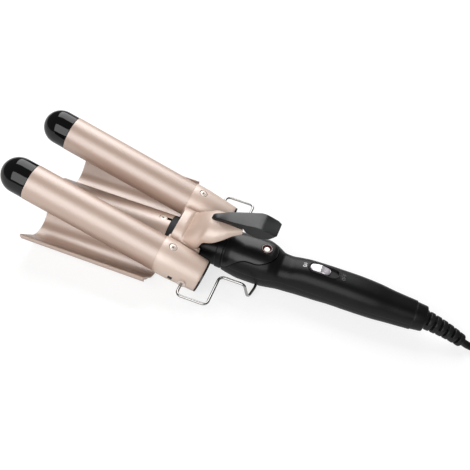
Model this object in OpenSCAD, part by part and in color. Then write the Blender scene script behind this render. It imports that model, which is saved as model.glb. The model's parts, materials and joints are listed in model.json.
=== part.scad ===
// Hair multi-styler with two barrels over a wave plate, in millimetres.
// +X runs to the cord end, +Z is up, and the origin is the middle of the handle's flat underside.

/* [Barrels] */
// Outer diameter of each barrel
barrel_d = 25; // [22:0.5:28]
// Wall of each barrel tube
barrel_wall = 1.5; // [1:0.1:2.5]
// Distance between the two barrel axes
barrel_gap = 57; // [54:0.5:64]
// Length of each barrel between its tip cap and its holder
barrel_l = 96.7; // [80:1:130]
// Length of a tip cap's straight skirt
cap_skirt = 8.5; // [6:0.5:11]
// Thickness of the step where a tip cap plugs into its tube
cap_plug = 8; // [5:0.5:12]

/* [Wave plate] */
// Hair gap between a closed barrel and its trough
hair_gap = 0.9; // [0.5:0.1:1.2]
// Thickness of the plate casting
plate_t = 3; // [2:0.1:3.2]
// Angle at which trough and ridge meet
wave_angle = 74; // [68:1:78]
// Length of the plate
plate_l = 93.5; // [80:1:110]
// Distance from the middle to the plate's long edge
plate_hw = 51.3; // [48:0.5:54]
// Radius of the plate's rear corners
plate_corner = 4; // [2:0.5:7]

/* [Hinge] */
// Angle by which the photographed jaw stands open
jaw_open = 15.5; // [10:0.5:18]
// Height of the hinge axis
hinge_z = 15; // [14.4:0.2:15.6]
// Diameter of the hinge pin
hinge_pin_d = 4; // [3:0.5:4.5]
// Radial clearance of a pin that turns
run_gap = 0.05; // [0.02:0.01:0.1]

/* [Yoke] */
// Length of a barrel holder
holder_l = 33; // [28:0.5:38]
// Wall of the yoke's hood
hood_wall = 1.8; // [1.4:0.1:2.4]
// Half of the neck slot's width inside the yoke
slot_hw = 12.5; // [12.4:0.1:13]
// Thickness of a cheek beside the neck
cheek_t = 3.5; // [3:0.1:4.5]

/* [Handle] */
// Length of the grip from the neck's seam to the rear collar
grip_l = 134.5; // [120:1:150]
// Wall of the grip's shells
shell_wall = 2.2; // [1.6:0.1:3]
// Width of the neck inside the yoke
neck_w = 24; // [20:0.5:24.6]
// Diameter of the indicator's bezel
bezel_d = 8.2; // [7:0.2:9.4]
// Diameter of the indicator's lens
lens_d = 4.4; // [3:0.2:5.6]
// Length of the slide switch's button
button_l = 14.2; // [12:0.2:15]
// Width of the slide switch's button
button_w = 6.6; // [5:0.2:7.4]
// Travel of the slide switch
button_travel = 5.5; // [4:0.5:6]

/* [Stand] */
// Diameter of the stand's wire
wire_d = 2; // [1.6:0.1:2.4]
// Bend radius of the stand's wire
wire_bend = 3.5; // [3:0.1:4]

/* [Cord] */
// Diameter of the power cord
cord_d = 5.2; // [4.8:0.1:5.4]
// Diameter of each plug pin
plug_pin_d = 4; // [3.8:0.1:4.2]
// Distance between the plug pins
plug_pitch = 18.6; // [17.4:0.2:20]

/* [Hidden] */
$fn = 48;
barrel_r = barrel_d / 2;
trough_r = barrel_r + hair_gap;
trough_y = barrel_gap / 2;
// The ridge meets both troughs at wave_angle, so its radius follows from the spacing
ridge_r = trough_y / sin(wave_angle) - trough_r;
trough_z = trough_r + plate_t - 0.3;
ridge_z = trough_z - (trough_r + ridge_r) * cos(wave_angle);
ridge_top = ridge_z + ridge_r;
plate_x1 = -56;
plate_x0 = plate_x1 - plate_l;
hinge_x = -36.2;
holder_x0 = -59.9;
holder_x1 = holder_x0 + holder_l;
holder_r = barrel_r + 0.5;
holder_rear_r = barrel_r - 0.9;
spigot_r = barrel_r - 1.7;
spigot_l = 12;
holder_screw_x = holder_x0 + 7.2;
barrel_x0 = holder_x0 - barrel_l;
grip_x0 = -18;
grip_x1 = grip_x0 + grip_l;
collar_l = 8;
wire_r = wire_d / 2;
eyelet_y = trough_y + barrel_r - 0.4;

// Shapes used by several pieces
module open_jaw() {
  translate([hinge_x, 0, hinge_z]) rotate([0, jaw_open, 0]) translate([-hinge_x, 0, -hinge_z]) children();
}
module mirrored() { children(); mirror([0, 1, 0]) children(); }
module along_x(x0, x1, r, fn = 48) {
  translate([x0, 0, 0]) rotate([0, 90, 0]) cylinder(r = r, h = x1 - x0, $fn = fn);
}
module along_y(y0, y1, r, fn = 32) {
  translate([0, y1, 0]) rotate([90, 0, 0]) cylinder(r = r, h = y1 - y0, $fn = fn);
}

// A ring of a superellipse section: half width w, up height t, down height b, about height z
function sect(x, z, w, t, b, p = 2.3, n = 28) = [for (i = [0 : n - 1])
  let (a = 360 * i / n, c = cos(a), s = sin(a), k = 2 / p, h = s >= 0 ? t : b)
  [x, w * sign(c) * pow(abs(c), k), z + h * sign(s) * pow(abs(s), k)]];
module loft(rings) {
  m = len(rings); n = len(rings[0]);
  pts = [for (r = rings) for (p = r) p];
  sides = [for (j = [0 : m - 2]) for (i = [0 : n - 1]) let (k = (i + 1) % n)
    each [[j * n + i, (j + 1) * n + k, j * n + k], [j * n + i, (j + 1) * n + i, (j + 1) * n + k]]];
  first = [for (i = [1 : n - 2]) [0, i, i + 1]];
  last = [for (i = [1 : n - 2]) [(m - 1) * n, (m - 1) * n + i + 1, (m - 1) * n + i]];
  polyhedron(pts, concat(sides, first, last));
}

// Handle outline: x, centre height, half width, height above and below it
grip_st = [[grip_x0, 14.3, 13.0, 13.4, 13.0], [-13, 14.6, 14.2, 14.2, 14.1], [-4, 14.8, 15.4, 14.6, 15.5],
  [8, 15.0, 15.5, 14.4, 15.7], [14, 14.9, 14.9, 13.8, 15.2], [18, 14.3, 13.6, 12.5, 14.6],
  [22, 13.7, 12.5, 10.9, 13.8], [27, 13.6, 12.1, 11.0, 13.4], [33, 14.0, 12.1, 12.2, 13.2],
  [40, 14.7, 12.2, 12.8, 13.3], [50, 15.3, 12.3, 12.6, 13.4], [60, 15.7, 12.3, 12.3, 12.9],
  [74, 15.6, 12.5, 12.2, 12.4], [88, 15.2, 12.1, 11.8, 11.8], [101, 14.7, 10.9, 10.8, 10.7],
  [grip_x1, 14.4, 9.8, 9.8, 9.6]];
module grip_solid(o = 0) {
  m = len(grip_st) - 1;
  loft([for (i = [0 : m]) let (s = grip_st[i], d = o <= 0 ? 0 : (i == 0 ? -1 : (i == m ? 1 : 0)))
    sect(s[0] + d, s[1], s[2] - o, s[3] - o, s[4] - o)]);
}

module barrel_tube() {
  difference() {
    union() {
      along_x(barrel_x0, holder_x0 - 0.1, barrel_r);
      along_x(holder_x0 - 0.2, holder_x0 + spigot_l, spigot_r);
    }
    along_x(barrel_x0 - 1, holder_x0 + spigot_l + 1, barrel_r - barrel_wall - 1.4);
    along_x(barrel_x0 - 1, barrel_x0 + cap_plug + 0.3, barrel_r - barrel_wall);
  }
}
module tip_cap() {
  translate([barrel_x0, 0, 0]) rotate([0, -90, 0]) rotate_extrude($fn = 64) polygon(concat(
    [[0, -cap_plug], [barrel_r - barrel_wall - 0.1, -cap_plug], [barrel_r - barrel_wall - 0.1, 0.1],
      [barrel_r - 0.1, 0.1]],
    [for (a = [0 : 10 : 90]) [(barrel_r - 0.1) * cos(a), cap_skirt + (barrel_r - 0.1) * sin(a)]]));
}

module wave_section(t0, t1, hw0) {
  // Top line of the casting at depth t0 and underside at depth t1
  a = wave_angle;
  function side(t) = concat(
    [for (i = [0 : 8]) let (f = a * i / 8) [(ridge_r - t) * sin(f), ridge_z + (ridge_r - t) * cos(f)]],
    [for (i = [1 : 18]) let (f = a - (a + 46) * i / 18)
      [trough_y - (trough_r + t) * sin(f), trough_z - (trough_r + t) * cos(f)]],
    [let (f = 46, y = trough_y + (trough_r + t) * sin(f), z = trough_z - (trough_r + t) * cos(f))
      [hw0 + t * sin(46) * 0.4, z + (hw0 + t * sin(46) * 0.4 - y) * tan(f)]]);
  top = side(t0);
  bot = side(t1);
  n = len(top);
  polygon(concat([for (i = [n - 1 : -1 : 1]) [-top[i][0], top[i][1]]], top,
    [for (i = [n - 1 : -1 : 0]) bot[i]], [for (i = [1 : n - 1]) [-bot[i][0], bot[i][1]]]));
}
// A section drawn in Y and Z is pushed along X
module push_x(x0, x1) { translate([x0, 0, 0]) rotate([90, 0, 90]) linear_extrude(x1 - x0) children(); }

module wave_plate() {
  color([0.85, 0.72, 0.65]) difference() {
    push_x(plate_x0, plate_x1) wave_section(0, plate_t, plate_hw);
    // Flat resting strips under the troughs
    translate([plate_x0 - 1, -plate_hw - 5, -5]) cube([plate_l + 2, 2 * plate_hw + 10, 5]);
    // Round rear corners
    mirrored() translate([plate_x1 - plate_corner, plate_hw - plate_corner + 1, 0]) difference() {
      cube([plate_corner + 1, plate_corner + 9, 60]);
      translate([0, 0, -1]) cylinder(r = plate_corner, h = 62, $fn = 32);
    }
    // Notch of the collar
    translate([plate_x1 - collar_w - 0.1, -collar_hw - 0.1, ridge_z]) cube([10, 2 * collar_hw + 0.2, 40]);
    // Screw and sensor slot in the ridge, the slot open to the collar
    off_crest() {
      translate([screw_x, 0, ridge_top - 8]) cylinder(d = 3.2, h = 12, $fn = 24);
      translate([screw_x, 0, ridge_top - 0.9]) cylinder(d = 5.6, h = 3, $fn = 24);
      translate([screw_x + 3.2, -0.9, ridge_top - 6]) cube([plate_x1 - collar_w - screw_x - 3.2, 1.8, 8]);
    }
  }
}
screw_x = -68.1;
screw_y = 2.2;
collar_w = 5.6;
collar_hw = 13.5;
// Turns what is drawn on the ridge's crest to screw_y
module off_crest() {
  translate([0, 0, ridge_z]) rotate([-asin(screw_y / ridge_r), 0, 0]) translate([0, 0, -ridge_z]) children();
}

module ridge_band(x0, x1, t0, t1, a0, a1) {
  // Part of a round band over the ridge
  push_x(x0, x1) polygon(concat(
    [for (i = [0 : 16]) let (f = a0 + (a1 - a0) * i / 16)
      [(ridge_r - t0) * sin(f), ridge_z + (ridge_r - t0) * cos(f)]],
    [for (i = [16 : -1 : 0]) let (f = a0 + (a1 - a0) * i / 16)
      [(ridge_r - t1) * sin(f), ridge_z + (ridge_r - t1) * cos(f)]]));
}

module insulating_collar() {
  color([0.05, 0.05, 0.05]) intersection() {
    ridge_band(plate_x1 - collar_w, plate_x1 - 0.05, 0, plate_t, -62, 62);
    translate([plate_x1 - 10, -collar_hw, 0]) cube([20, 2 * collar_hw, 40]);
  }
}
module plate_screw() {
  color([0.75, 0.72, 0.7]) off_crest() translate([screw_x, 0, 0]) difference() {
    union() {
      translate([0, 0, ridge_top - 0.9]) cylinder(d = 5.2, h = 0.9, $fn = 24);
      translate([0, 0, ridge_top - 7.5]) cylinder(d = 2.9, h = 7, $fn = 24);
    }
    for (a = [0, 90]) translate([0, 0, ridge_top]) rotate(a) cube([3, 0.7, 1.1], center = true);
  }
}
module middle_heater() {
  // Flat heater and its spring clamp under the ridge
  color([0.8, 0.8, 0.78]) {
    ridge_band(plate_x0 + 6, screw_x - 6, plate_t + 0.05, plate_t + 2.3, -34, 34);
    translate([plate_x0 + 10, -4, ridge_top - plate_t - 4.6]) cube([screw_x - 6 - plate_x0 - 14, 8, 3.2]);
  }
}
module heater_cover() {
  // Moulded tray that closes the ridge from below
  r = ridge_r - plate_t - 0.1;
  color([0.1, 0.1, 0.1]) difference() {
    push_x(plate_x0 + 2, plate_x1 - 0.6)
      polygon(concat([for (f = [-68 : 8.5 : 68]) [r * sin(f), ridge_z + r * cos(f)]],
      [[8.6, ridge_z - 2.4], [-8.6, ridge_z - 2.4]]));
    // Heater bay, open on top, and the pocket for the neck's tongue
    push_x(plate_x0 + 4.2, screw_x - 5.8) polygon([[-7.6, ridge_z], [7.6, ridge_z], [7.6, 60], [-7.6, 60]]);
    translate([screw_x - 5.7, -neck_tongue / 2 - 0.1, ridge_z + 0.2]) cube([30, neck_tongue + 0.2, 40]);
  }
}
neck_tongue = 17;

module neck_housing() {
  // Front of the handle: the tongue in the ridge, the hinge's neck and the socket that joins the grip
  color([0.08, 0.08, 0.08]) difference() {
    union() {
      loft([sect(plate_x1 + 0.2, 13.0, 10.8, 7.4, 9.2, 2.8), sect(-50, 13.4, 11.3, 7.8, 9.4, 2.8),
        sect(-46, 13.6, 11.7, 8.4, 9.6, 2.8), sect(-34, 14.0, neck_w / 2, 10.8, 9.8, 2.8),
        sect(-24, 14.2, neck_w / 2, 12.0, 10.2, 2.7),
        sect(grip_x0, 14.3, neck_w / 2 + 0.4, 12.6, 11.2, 2.5)]);
      // Tongue that carries the plate
      intersection() {
        union() {
          translate([screw_x - 5.6, -neck_tongue / 2, ridge_z + 0.3])
            cube([plate_x1 - screw_x + 6, neck_tongue, 20]);
          translate([plate_x1 - 0.5, -neck_tongue / 2, ridge_z - 1]) cube([6, neck_tongue, 20]);
        }
        translate([0, 0, ridge_z]) along_x(screw_x - 7, plate_x1 + 5, ridge_r - plate_t - 0.1);
      }
      // Sleeve inside the grip
      loft([sect(grip_x0 - 0.5, 14.3, 12.9 - shell_wall, 13.2 - shell_wall, 12.6 - shell_wall, 2.3),
        sect(grip_x0 + 9, 14.6, 14.3 - shell_wall, 14.0 - shell_wall, 14.1 - shell_wall, 2.3)]);
    }
    // Hinge bore, spring pocket and wire way
    translate([hinge_x, 0, hinge_z]) along_y(-30, 30, hinge_pin_d / 2 + run_gap);
    translate([hinge_x - 6.5, -5, hinge_z - 6.5]) cube([13, 10, 40]);
    translate([-32.5, 0, 14.3]) along_x(0, 60, 7, 32);
    off_crest() translate([screw_x, 0, ridge_z]) cylinder(d = 3.1, h = 30, $fn = 24);
  }
}

split = 14.8;
// The notch slants as the crossbar's path does
module stand_notch(o) {
  top = foot_z + wire_r + 0.6 + o;
  rotate([90, 0, 0]) linear_extrude(60, center = true) polygon([[foot_x + wire_r + 0.7 + o, -5],
    [foot_x + wire_r + 0.7 + o, top], [foot_x - wire_r - 0.7 - o, top], [foot_x - wire_r - 3.3 - o, -5]]);
}
module grip_half(up) {
  difference() {
    grip_solid();
    grip_solid(shell_wall);
    translate([grip_x0 - 5, -30, up ? split - 60 : split - 0.1]) cube([grip_l + 10, 60, 60]);
    if (up) {
      // Seats of the saddle, of the indicator and of the switch
      translate([9.3, 0, 20]) cylinder(d = 10, h = 20, $fn = 32);
      translate([switch_x - 8, -2.6, 18]) cube([16, 5.2, 20]);
      translate([0, 0, switch_z - 1.8]) pill(switch_x, 22.6, 9.2, 10);
    } else {
      // Notch for the stand's crossbar
      stand_notch(0);
    }
    // Flat underside
    translate([-60, -30, -10]) cube([220, 60, 10]);
    // Screw holes from below
    for (x = shell_screw_x) translate([x, 0, -1]) {
      cylinder(d = up ? 2.4 : 3.3, h = split + 8, $fn = 24);
      if (!up) cylinder(d = 5.8, h = 7, $fn = 24);
    }
  }
}
shell_screw_x = [19, 84];
module shell_post(up) {
  intersection() {
    grip_solid(0.4);
    difference() {
      for (x = shell_screw_x) translate([x, 0, up ? split : 0])
        cylinder(d = up ? 6 : 8.4, h = up ? 14 : split - 0.1, $fn = 28);
      for (x = shell_screw_x) translate([x, 0, -1]) {
        cylinder(d = up ? 2.4 : 3.3, h = split + 8, $fn = 24);
        if (!up) cylinder(d = 5.8, h = 7, $fn = 24);
      }
    }
  }
}
module shell_screws() {
  color([0.5, 0.5, 0.52]) for (x = shell_screw_x) translate([x, 0, 0]) difference() {
    union() {
      translate([0, 0, 4.3]) cylinder(d = 5.4, h = 1.7, $fn = 24);
      translate([0, 0, 5.9]) cylinder(d = 2.9, h = split - 6.1, $fn = 24);
      translate([0, 0, split - 0.3]) cylinder(d = 2.2, h = 6.3, $fn = 24);
    }
    for (a = [0, 90]) translate([0, 0, 4.3]) rotate(a) cube([3, 0.8, 1.6], center = true);
  }
}
switch_x = 50.6;
switch_z = 27.9;
foot_x = 8.8;
foot_z = 4.6;
module pill(x, l, w, h) {
  translate([x, 0, 0]) union() {
    translate([-(l - w) / 2, 0, 0]) cylinder(d = w, h = h, $fn = 36);
    translate([(l - w) / 2, 0, 0]) cylinder(d = w, h = h, $fn = 36);
    translate([-(l - w) / 2, -w / 2, 0]) cube([l - w, w, h]);
  }
}

module handle_upper_shell() {
  color([0.07, 0.07, 0.07]) union() {
    grip_half(true);
    shell_post(true);
  }
}
module handle_lower_shell() {
  color([0.09, 0.09, 0.09]) union() {
    grip_half(false);
    shell_post(false);
    // Walls round the notch, inside the shell
    intersection() {
      grip_solid(0.3);
      difference() {
        stand_notch(1.8);
        stand_notch(0);
        translate([-60, -30, -10]) cube([220, 60, 10]);
      }
    }
  }
}
module saddle_cover() {
  color([0.05, 0.05, 0.06]) difference() {
    intersection() {
      grip_solid(-0.9);
      linear_extrude(60) union() {
        translate([4.4, 0]) circle(r = 13.2);
        translate([grip_x0 + 0.2, -20]) square([22.2, 40]);
      }
      // The side edge climbs from the neck in a long S
      rotate([90, 0, 0]) linear_extrude(50, center = true)
        polygon([[grip_x0 - 1, 12.2], [-16, 13.3], [-14, 15.1], [-12, 17.4], [-10, 19.8], [-8, 21.8],
          [-6, 23.3], [-4, 24.3], [-1.5, 25.0], [2, 25.2], [20, 25.2], [20, 40], [grip_x0 - 1, 40]]);
    }
    grip_solid(-0.05);
    translate([9.3, 0, 10]) cylinder(d = bezel_d + 0.1, h = 30, $fn = 40);
  }
}
module indicator_bezel() {
  color([0.12, 0.05, 0.05]) translate([9.3, 0, 0]) difference() {
    translate([0, 0, 26.2]) cylinder(d = bezel_d, h = 4.1, $fn = 40);
    translate([0, 0, 29.4]) cylinder(d1 = bezel_d - 2.2, d2 = bezel_d - 1, h = 1, $fn = 40);
    translate([0, 0, 20]) cylinder(d = lens_d + 0.1, h = 20, $fn = 32);
  }
}
module indicator_lens() {
  color([1, 0.9, 0.86]) translate([9.3, 0, 0]) {
    translate([0, 0, 22.6]) cylinder(d = lens_d, h = 6.6, $fn = 32);
    translate([0, 0, 29.2]) intersection() {
      translate([0, 0, -3.2]) sphere(r = 3.9, $fn = 32);
      cylinder(d = lens_d, h = 3, $fn = 32);
    }
  }
}
module switch_bezel() {
  color([0.06, 0.06, 0.06]) difference() {
    translate([0, 0, switch_z - 1.7]) pill(switch_x, 22.4, 9, 2.0);
    translate([0, 0, switch_z - 1.1]) pill(switch_x, button_l + button_travel + 0.8, button_w + 0.8, 3);
    translate([switch_x - 6.5, -1.6, switch_z - 6]) cube([13, 3.2, 8]);
  }
}
module switch_knob() {
  x = switch_x - button_travel / 2;
  color([0.75, 0.73, 0.76]) difference() {
    union() {
      translate([0, 0, switch_z - 1.0]) pill(x, button_l, button_w, 2.1);
      translate([x - 1.4, -1.2, switch_z - 5.6]) cube([2.8, 2.4, 5]);
    }
    // Thumb dish on each side of the raised middle rib
    for (s = [-1, 1]) translate([x + s * 3.7, 0, switch_z + 8.6]) rotate([90, 0, 0])
      cylinder(r = 8, h = 20, center = true, $fn = 64);
  }
}
module switch_block() {
  color([0.85, 0.85, 0.82]) difference() {
    translate([switch_x - 9.5, -3.4, switch_z - 10.2]) cube([19, 6.8, 6.2]);
    translate([switch_x - button_travel / 2 - 2.2, -1.5, switch_z - 6.2]) cube([4.4 + button_travel, 3, 4]);
  }
}
module circuit_board() {
  color([0.1, 0.35, 0.2]) {
    translate([28, -9, switch_z - 12]) cube([42, 18, 1.6]);
    translate([30, -4, switch_z - 16]) cube([8, 8, 4.1]);
    translate([62.5, -3, switch_z - 10.5]) cube([5, 6, 3.5]);
  }
}
module rear_collar() {
  color([0.06, 0.06, 0.06]) difference() {
    union() {
      translate([grip_x1 + 0.1, 0, 14.4]) rotate([0, 90, 0])
        cylinder(r1 = 9.6, r2 = 8.8, h = collar_l, $fn = 48);
      translate([grip_x1 - 4, 0, 14.4]) along_x(0, 5, 9.7 - shell_wall - 0.4, 40);
    }
    translate([grip_x1 - 6, 0, 14.4]) along_x(0, 20, 3.6, 32);
    translate([grip_x1 + collar_l - 2, 0, 14.4]) along_x(0, 5, 7.2, 40);
  }
}
// Strain relief: drooping, ribbed, with its cord bore
relief_x0 = grip_x1 + collar_l - 1.9;
relief_n = 25;
function relief_p(u) = [relief_x0 + 30.5 * u, 0, 14.4 - 4.0 * u - 5.0 * u * u];
function relief_a(u) = atan((4.0 + 10.0 * u) / 30.5);
module strain_relief() {
  rings = [for (i = [0 : relief_n - 1])
    let (u = i / (relief_n - 1), p = relief_p(u), a = u < 0.05 ? 0 : relief_a(u),
      deep = (i < 3 || i > 22) ? 0 : (i % 4 >= 2 ? 1 : 0),
      r = 7 - 2.6 * u - 1.1 * deep)
    [for (k = [0 : 19]) let (f = 18 * k)
      [p[0] + r * sin(f) * sin(a), r * cos(f), p[2] + r * sin(f) * cos(a)]]];
  color([0.05, 0.05, 0.05]) loft(rings);
}

module hinge_pin() {
  color([0.7, 0.7, 0.72]) open_jaw() translate([hinge_x, 0, hinge_z])
    along_y(-slot_hw - cheek_t, slot_hw + cheek_t, hinge_pin_d / 2);
}
// One unbroken round wire along a path that never runs along the direction up
module tube(path, r, n, up = [0, 0, 1]) {
  m = len(path);
  function dir(i) = i == 0 ? unit(path[1] - path[0]) : (i == m - 1 ? unit(path[m - 1] - path[m - 2])
    : unit(unit(path[i + 1] - path[i]) + unit(path[i] - path[i - 1])));
  loft([for (i = [0 : m - 1]) let (d = dir(i), u = unit(cross(d, up)), w = cross(d, u))
    [for (k = [0 : n - 1]) let (f = 360 * (k + 0.5) / n) path[i] + r * cos(f) * w - r * sin(f) * u]]);
}
// Torsion spring on the hinge pin, one unbroken wire
spring_r = 3.9;
spring_turns = 4;
spring_path = concat(
  [[12, -3, 4.4], [8, -3.1, 1.4]],
  [for (i = [0 : spring_turns * 8]) let (a = -20 - 45 * i)
    [spring_r * cos(a), -3.1 + 6.2 * i / (spring_turns * 8), spring_r * sin(a)]],
  [[5.9, 3.1, 5], [6.1, 3.1, 13], [6.2, 3.1, 21.6]]);
module jaw_spring() {
  color([0.6, 0.6, 0.62]) translate([hinge_x, 0, hinge_z])
    tube(spring_path, 0.6, 6, [0, 1, 0]);
}

// The yoke is drawn closed, with its barrels in the troughs
// Hood stations: distance behind the holders' front, half width, skirt and crown above the barrels'
// axes, flatness
hood_rows = [[1.8, 15.6, -6, 11.1, 2.3], [3.4, 15.6, -6, 11, 2.4], [6.4, 15.6, -6, 9.4, 3.4],
  [9.2, 15.6, -6, 8.2, 4], [10.6, 15.6, -6, 9.4, 3.4], [13, 15.4, -6, 14.4, 2.6],
  [15.6, 15.2, -4, 19.2, 2.3], [19, 14.6, 0, 23.4, 2.2], [22, 12.8, 13.4, 25.6, 2.2],
  [27, 12.2, 17.4, 27.4, 2.1], [32, 9.6, 21.8, 28.8, 2.1], [37.2, 5.6, 26.6, 30, 2],
  [42.4, 2.2, 29.6, 31, 2]];
hood_st = [for (r = hood_rows) [holder_x0 + r[0], r[1], trough_z + r[2], trough_z + r[3], r[4]]];
function arch(s, w) = let (x = s[0], a = s[1] - w, z0 = s[2], h = s[3] - w - s[2], p = s[4], k = 2 / p)
  concat([for (i = [0 : 14]) let (f = 180 * i / 14, c = cos(f), v = sin(f))
    [x, a * sign(c) * pow(abs(c), k), z0 + max(h, 0.6) * pow(abs(v), k)]],
    w > 0 ? [[x, -a, z0 - 8], [x, a, z0 - 8]] : [[x, -a * 0.98, z0 - 0.4], [x, a * 0.98, z0 - 0.4]]);
module hood() {
  n = len(hood_st);
  difference() {
    loft([for (s = hood_st) arch(s, 0)]);
    loft([for (i = [0 : n - 1]) let (s = hood_st[i], d = i == 0 ? -1 : (i == n - 1 ? -2.5 : 0))
      arch([s[0] + d, s[1], s[2], s[3], s[4]], hood_wall)]);
    // Room for the neck, from the hood's front to behind the hinge
    translate([holder_x0 - 2, -slot_hw, trough_z - 20]) cube([26, 2 * slot_hw, 20 + 4]);
  }
}
module holder() {
  difference() {
    translate([holder_x0, 0, 0]) rotate([0, 90, 0]) rotate_extrude($fn = 64)
      polygon([[0, 0], [holder_r - 0.3, 0], [holder_r, 0.4], [holder_r, 10], [holder_rear_r, holder_l],
        [0, holder_l]]);
    along_x(holder_x0 - 1, holder_x0 + spigot_l + 0.1, spigot_r + 0.05);
    along_x(holder_x0 + 5, holder_x1 - 2.4, spigot_r - 1.2);
    along_x(holder_x1 - 2.5, holder_x1 + 1, holder_rear_r - 0.9);
  }
}
module yoke_housing() {
  color([0.88, 0.76, 0.7]) open_jaw() difference() {
    union() {
      hood();
      mirrored() {
        translate([0, trough_y, trough_z]) holder();
        // Web from the hood to the holder, and the cheek with the hinge boss
        translate([holder_x0 + 0.4, slot_hw, trough_z - 6]) cube([24, 5, 11.4]);
        translate([holder_x0 + 9.3, slot_hw, trough_z - 9]) cube([14.7, cheek_t, 16]);
        translate([hinge_x, 0, hinge_z]) along_y(slot_hw, slot_hw + cheek_t, 5.2);
        // Eyelet boss for the stand
        translate([hinge_x, 0, hinge_z]) along_y(trough_y + 8, eyelet_y + 0.4, 3.3);
      }
    }
    // Barrel spigots and end caps stay free
    mirrored() {
      translate([0, trough_y, trough_z]) {
        along_x(holder_x0 - 1, holder_x0 + spigot_l + 0.1, spigot_r + 0.05);
        along_x(holder_x0 + 5, holder_x1 - 2.4, spigot_r - 1.2);
        along_x(holder_x1 - 2.5, holder_x1 + 6, holder_rear_r - 0.9);
      }
      translate([hinge_x, 0, hinge_z]) along_y(trough_y + 4, eyelet_y + 4, wire_r + run_gap);
      // Holder screw and the small slot below it
      translate([holder_screw_x, trough_y, trough_z + holder_r - 1.2]) cylinder(d = 5.4, h = 4, $fn = 24);
      translate([holder_screw_x, trough_y, trough_z]) cylinder(d = 3, h = 20, $fn = 24);
      translate([holder_x0 + 13.4, trough_y + 8, trough_z - 5.4]) cube([4, 8, 2.2]);
    }
    translate([lever_screw_x, 0, trough_z + 20]) cylinder(d = 3, h = 13, $fn = 24);
    translate([lever_screw_x, 0, trough_z + 20]) cylinder(d = 5.4, h = 6.7, $fn = 24);
    translate([hinge_x, 0, hinge_z])
      along_y(-slot_hw - cheek_t - 0.1, slot_hw + cheek_t + 0.1, hinge_pin_d / 2 + 0.03);
    translate([holder_x0 - 2, -slot_hw, -20]) cube([45, 2 * slot_hw, 20 + hinge_z + 5]);
    // Room for the ridge and its collar when the jaw is closed
    translate([0, 0, ridge_z]) along_x(holder_x0 - 2, plate_x1 + 0.7, ridge_r + 0.7, 72);
  }
}
module near_barrel() {
  color([0.9, 0.78, 0.72]) open_jaw() translate([0, -trough_y, trough_z]) barrel_tube();
}
module far_barrel() {
  color([0.9, 0.78, 0.72]) open_jaw() translate([0, trough_y, trough_z]) barrel_tube();
}
module near_tip_cap() {
  color([0.03, 0.03, 0.03]) open_jaw() translate([0, -trough_y, trough_z]) tip_cap();
}
module far_tip_cap() {
  color([0.03, 0.03, 0.03]) open_jaw() translate([0, trough_y, trough_z]) tip_cap();
}
module end_cap() {
  along_x(holder_x1 - 2.4, holder_x1 + 0.2, holder_rear_r - 1);
  along_x(holder_x1 + 0.05, holder_x1 + 1.4, holder_rear_r - 0.1);
}
module near_end_cap() {
  color([0.03, 0.03, 0.03]) open_jaw() translate([0, -trough_y, trough_z]) end_cap();
}
module far_end_cap() {
  color([0.03, 0.03, 0.03]) open_jaw() translate([0, trough_y, trough_z]) end_cap();
}
module heater() {
  r = barrel_r - barrel_wall - 1.4;
  difference() {
    along_x(barrel_x0 + cap_plug + 3, holder_x0 - 6, r - 0.05);
    for (s = [-1, 1]) translate([barrel_x0, -r - 1, s > 0 ? 4 : -14]) cube([barrel_l, 2 * r + 2, 10]);
  }
}
module near_heater() { color([0.8, 0.8, 0.78]) open_jaw() translate([0, -trough_y, trough_z]) heater(); }
module far_heater() { color([0.8, 0.8, 0.78]) open_jaw() translate([0, trough_y, trough_z]) heater(); }
module holder_screws() {
  color([0.75, 0.72, 0.7]) open_jaw() mirrored() translate([holder_screw_x, trough_y, trough_z])
    difference() {
    union() {
      translate([0, 0, holder_r - 1.2]) cylinder(d = 5.2, h = 1.1, $fn = 24);
      translate([0, 0, spigot_r + 0.1]) cylinder(d = 2.9, h = holder_r - spigot_r - 1.2, $fn = 24);
    }
    for (a = [0, 90]) translate([0, 0, holder_r]) rotate(a) cube([3, 0.7, 1.1], center = true);
  }
}

// Thumb lever: distance behind the holders' front, half width, side's underside and top above the
// barrels' axes
lever_rows = [[20, 1.4, 26.4, 28], [21.2, 2.2, 26.2, 29.2], [24.6, 3.2, 28.6, 31.4],
  [30.3, 4.75, 32.2, 35.2], [36.6, 6, 35.6, 38.8], [41.6, 6.8, 37.8, 41.8], [43.4, 7, 36.6, 42.8],
  [45.8, 7.3, 36.4, 44.3], [48.6, 7.5, 36.6, 46], [52.2, 7.6, 37.3, 46.8],
  [59.3, 7.4, 41.7, 47], [62.8, 6, 46.4, 47.2]];
// Its web stands on the hood's crown
web_rows = [[20.8, 1.2, 24.2, 28.4], [24.6, 2.4, 26, 30.6], [30.3, 2.7, 27.9, 34.2],
  [36.6, 2.7, 29.3, 37.8], [41.6, 2.4, 30.3, 40]];
lever_screw_x = holder_x0 + 30.6;
function block_ring(r, c) = let (x = holder_x0 + r[0], w = r[1], z0 = trough_z + r[2], z1 = trough_z + r[3])
  [[x, w, z0], [x, w, z1 - c], [x, w - c, z1], [x, 0, z1 + c / 3], [x, -w + c, z1], [x, -w, z1 - c],
    [x, -w, z0], [x, 0, z0 - 0.1]];
module thumb_lever() {
  color([0.1, 0.1, 0.11]) open_jaw() difference() {
    union() {
      loft([for (r = lever_rows) block_ring(r, min(0.9, (r[3] - r[2]) * 0.3))]);
      loft([for (r = web_rows) block_ring(r, 0.3)]);
    }
    translate([lever_screw_x, 0, trough_z + 20]) cylinder(d = 3, h = 13, $fn = 24);
    // The hood's crown is the lever's seat
    loft([for (s = hood_st) arch([s[0], s[1] + 0.05, s[2], s[3] + 0.05, s[4]], 0)]);
  }
}
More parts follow.
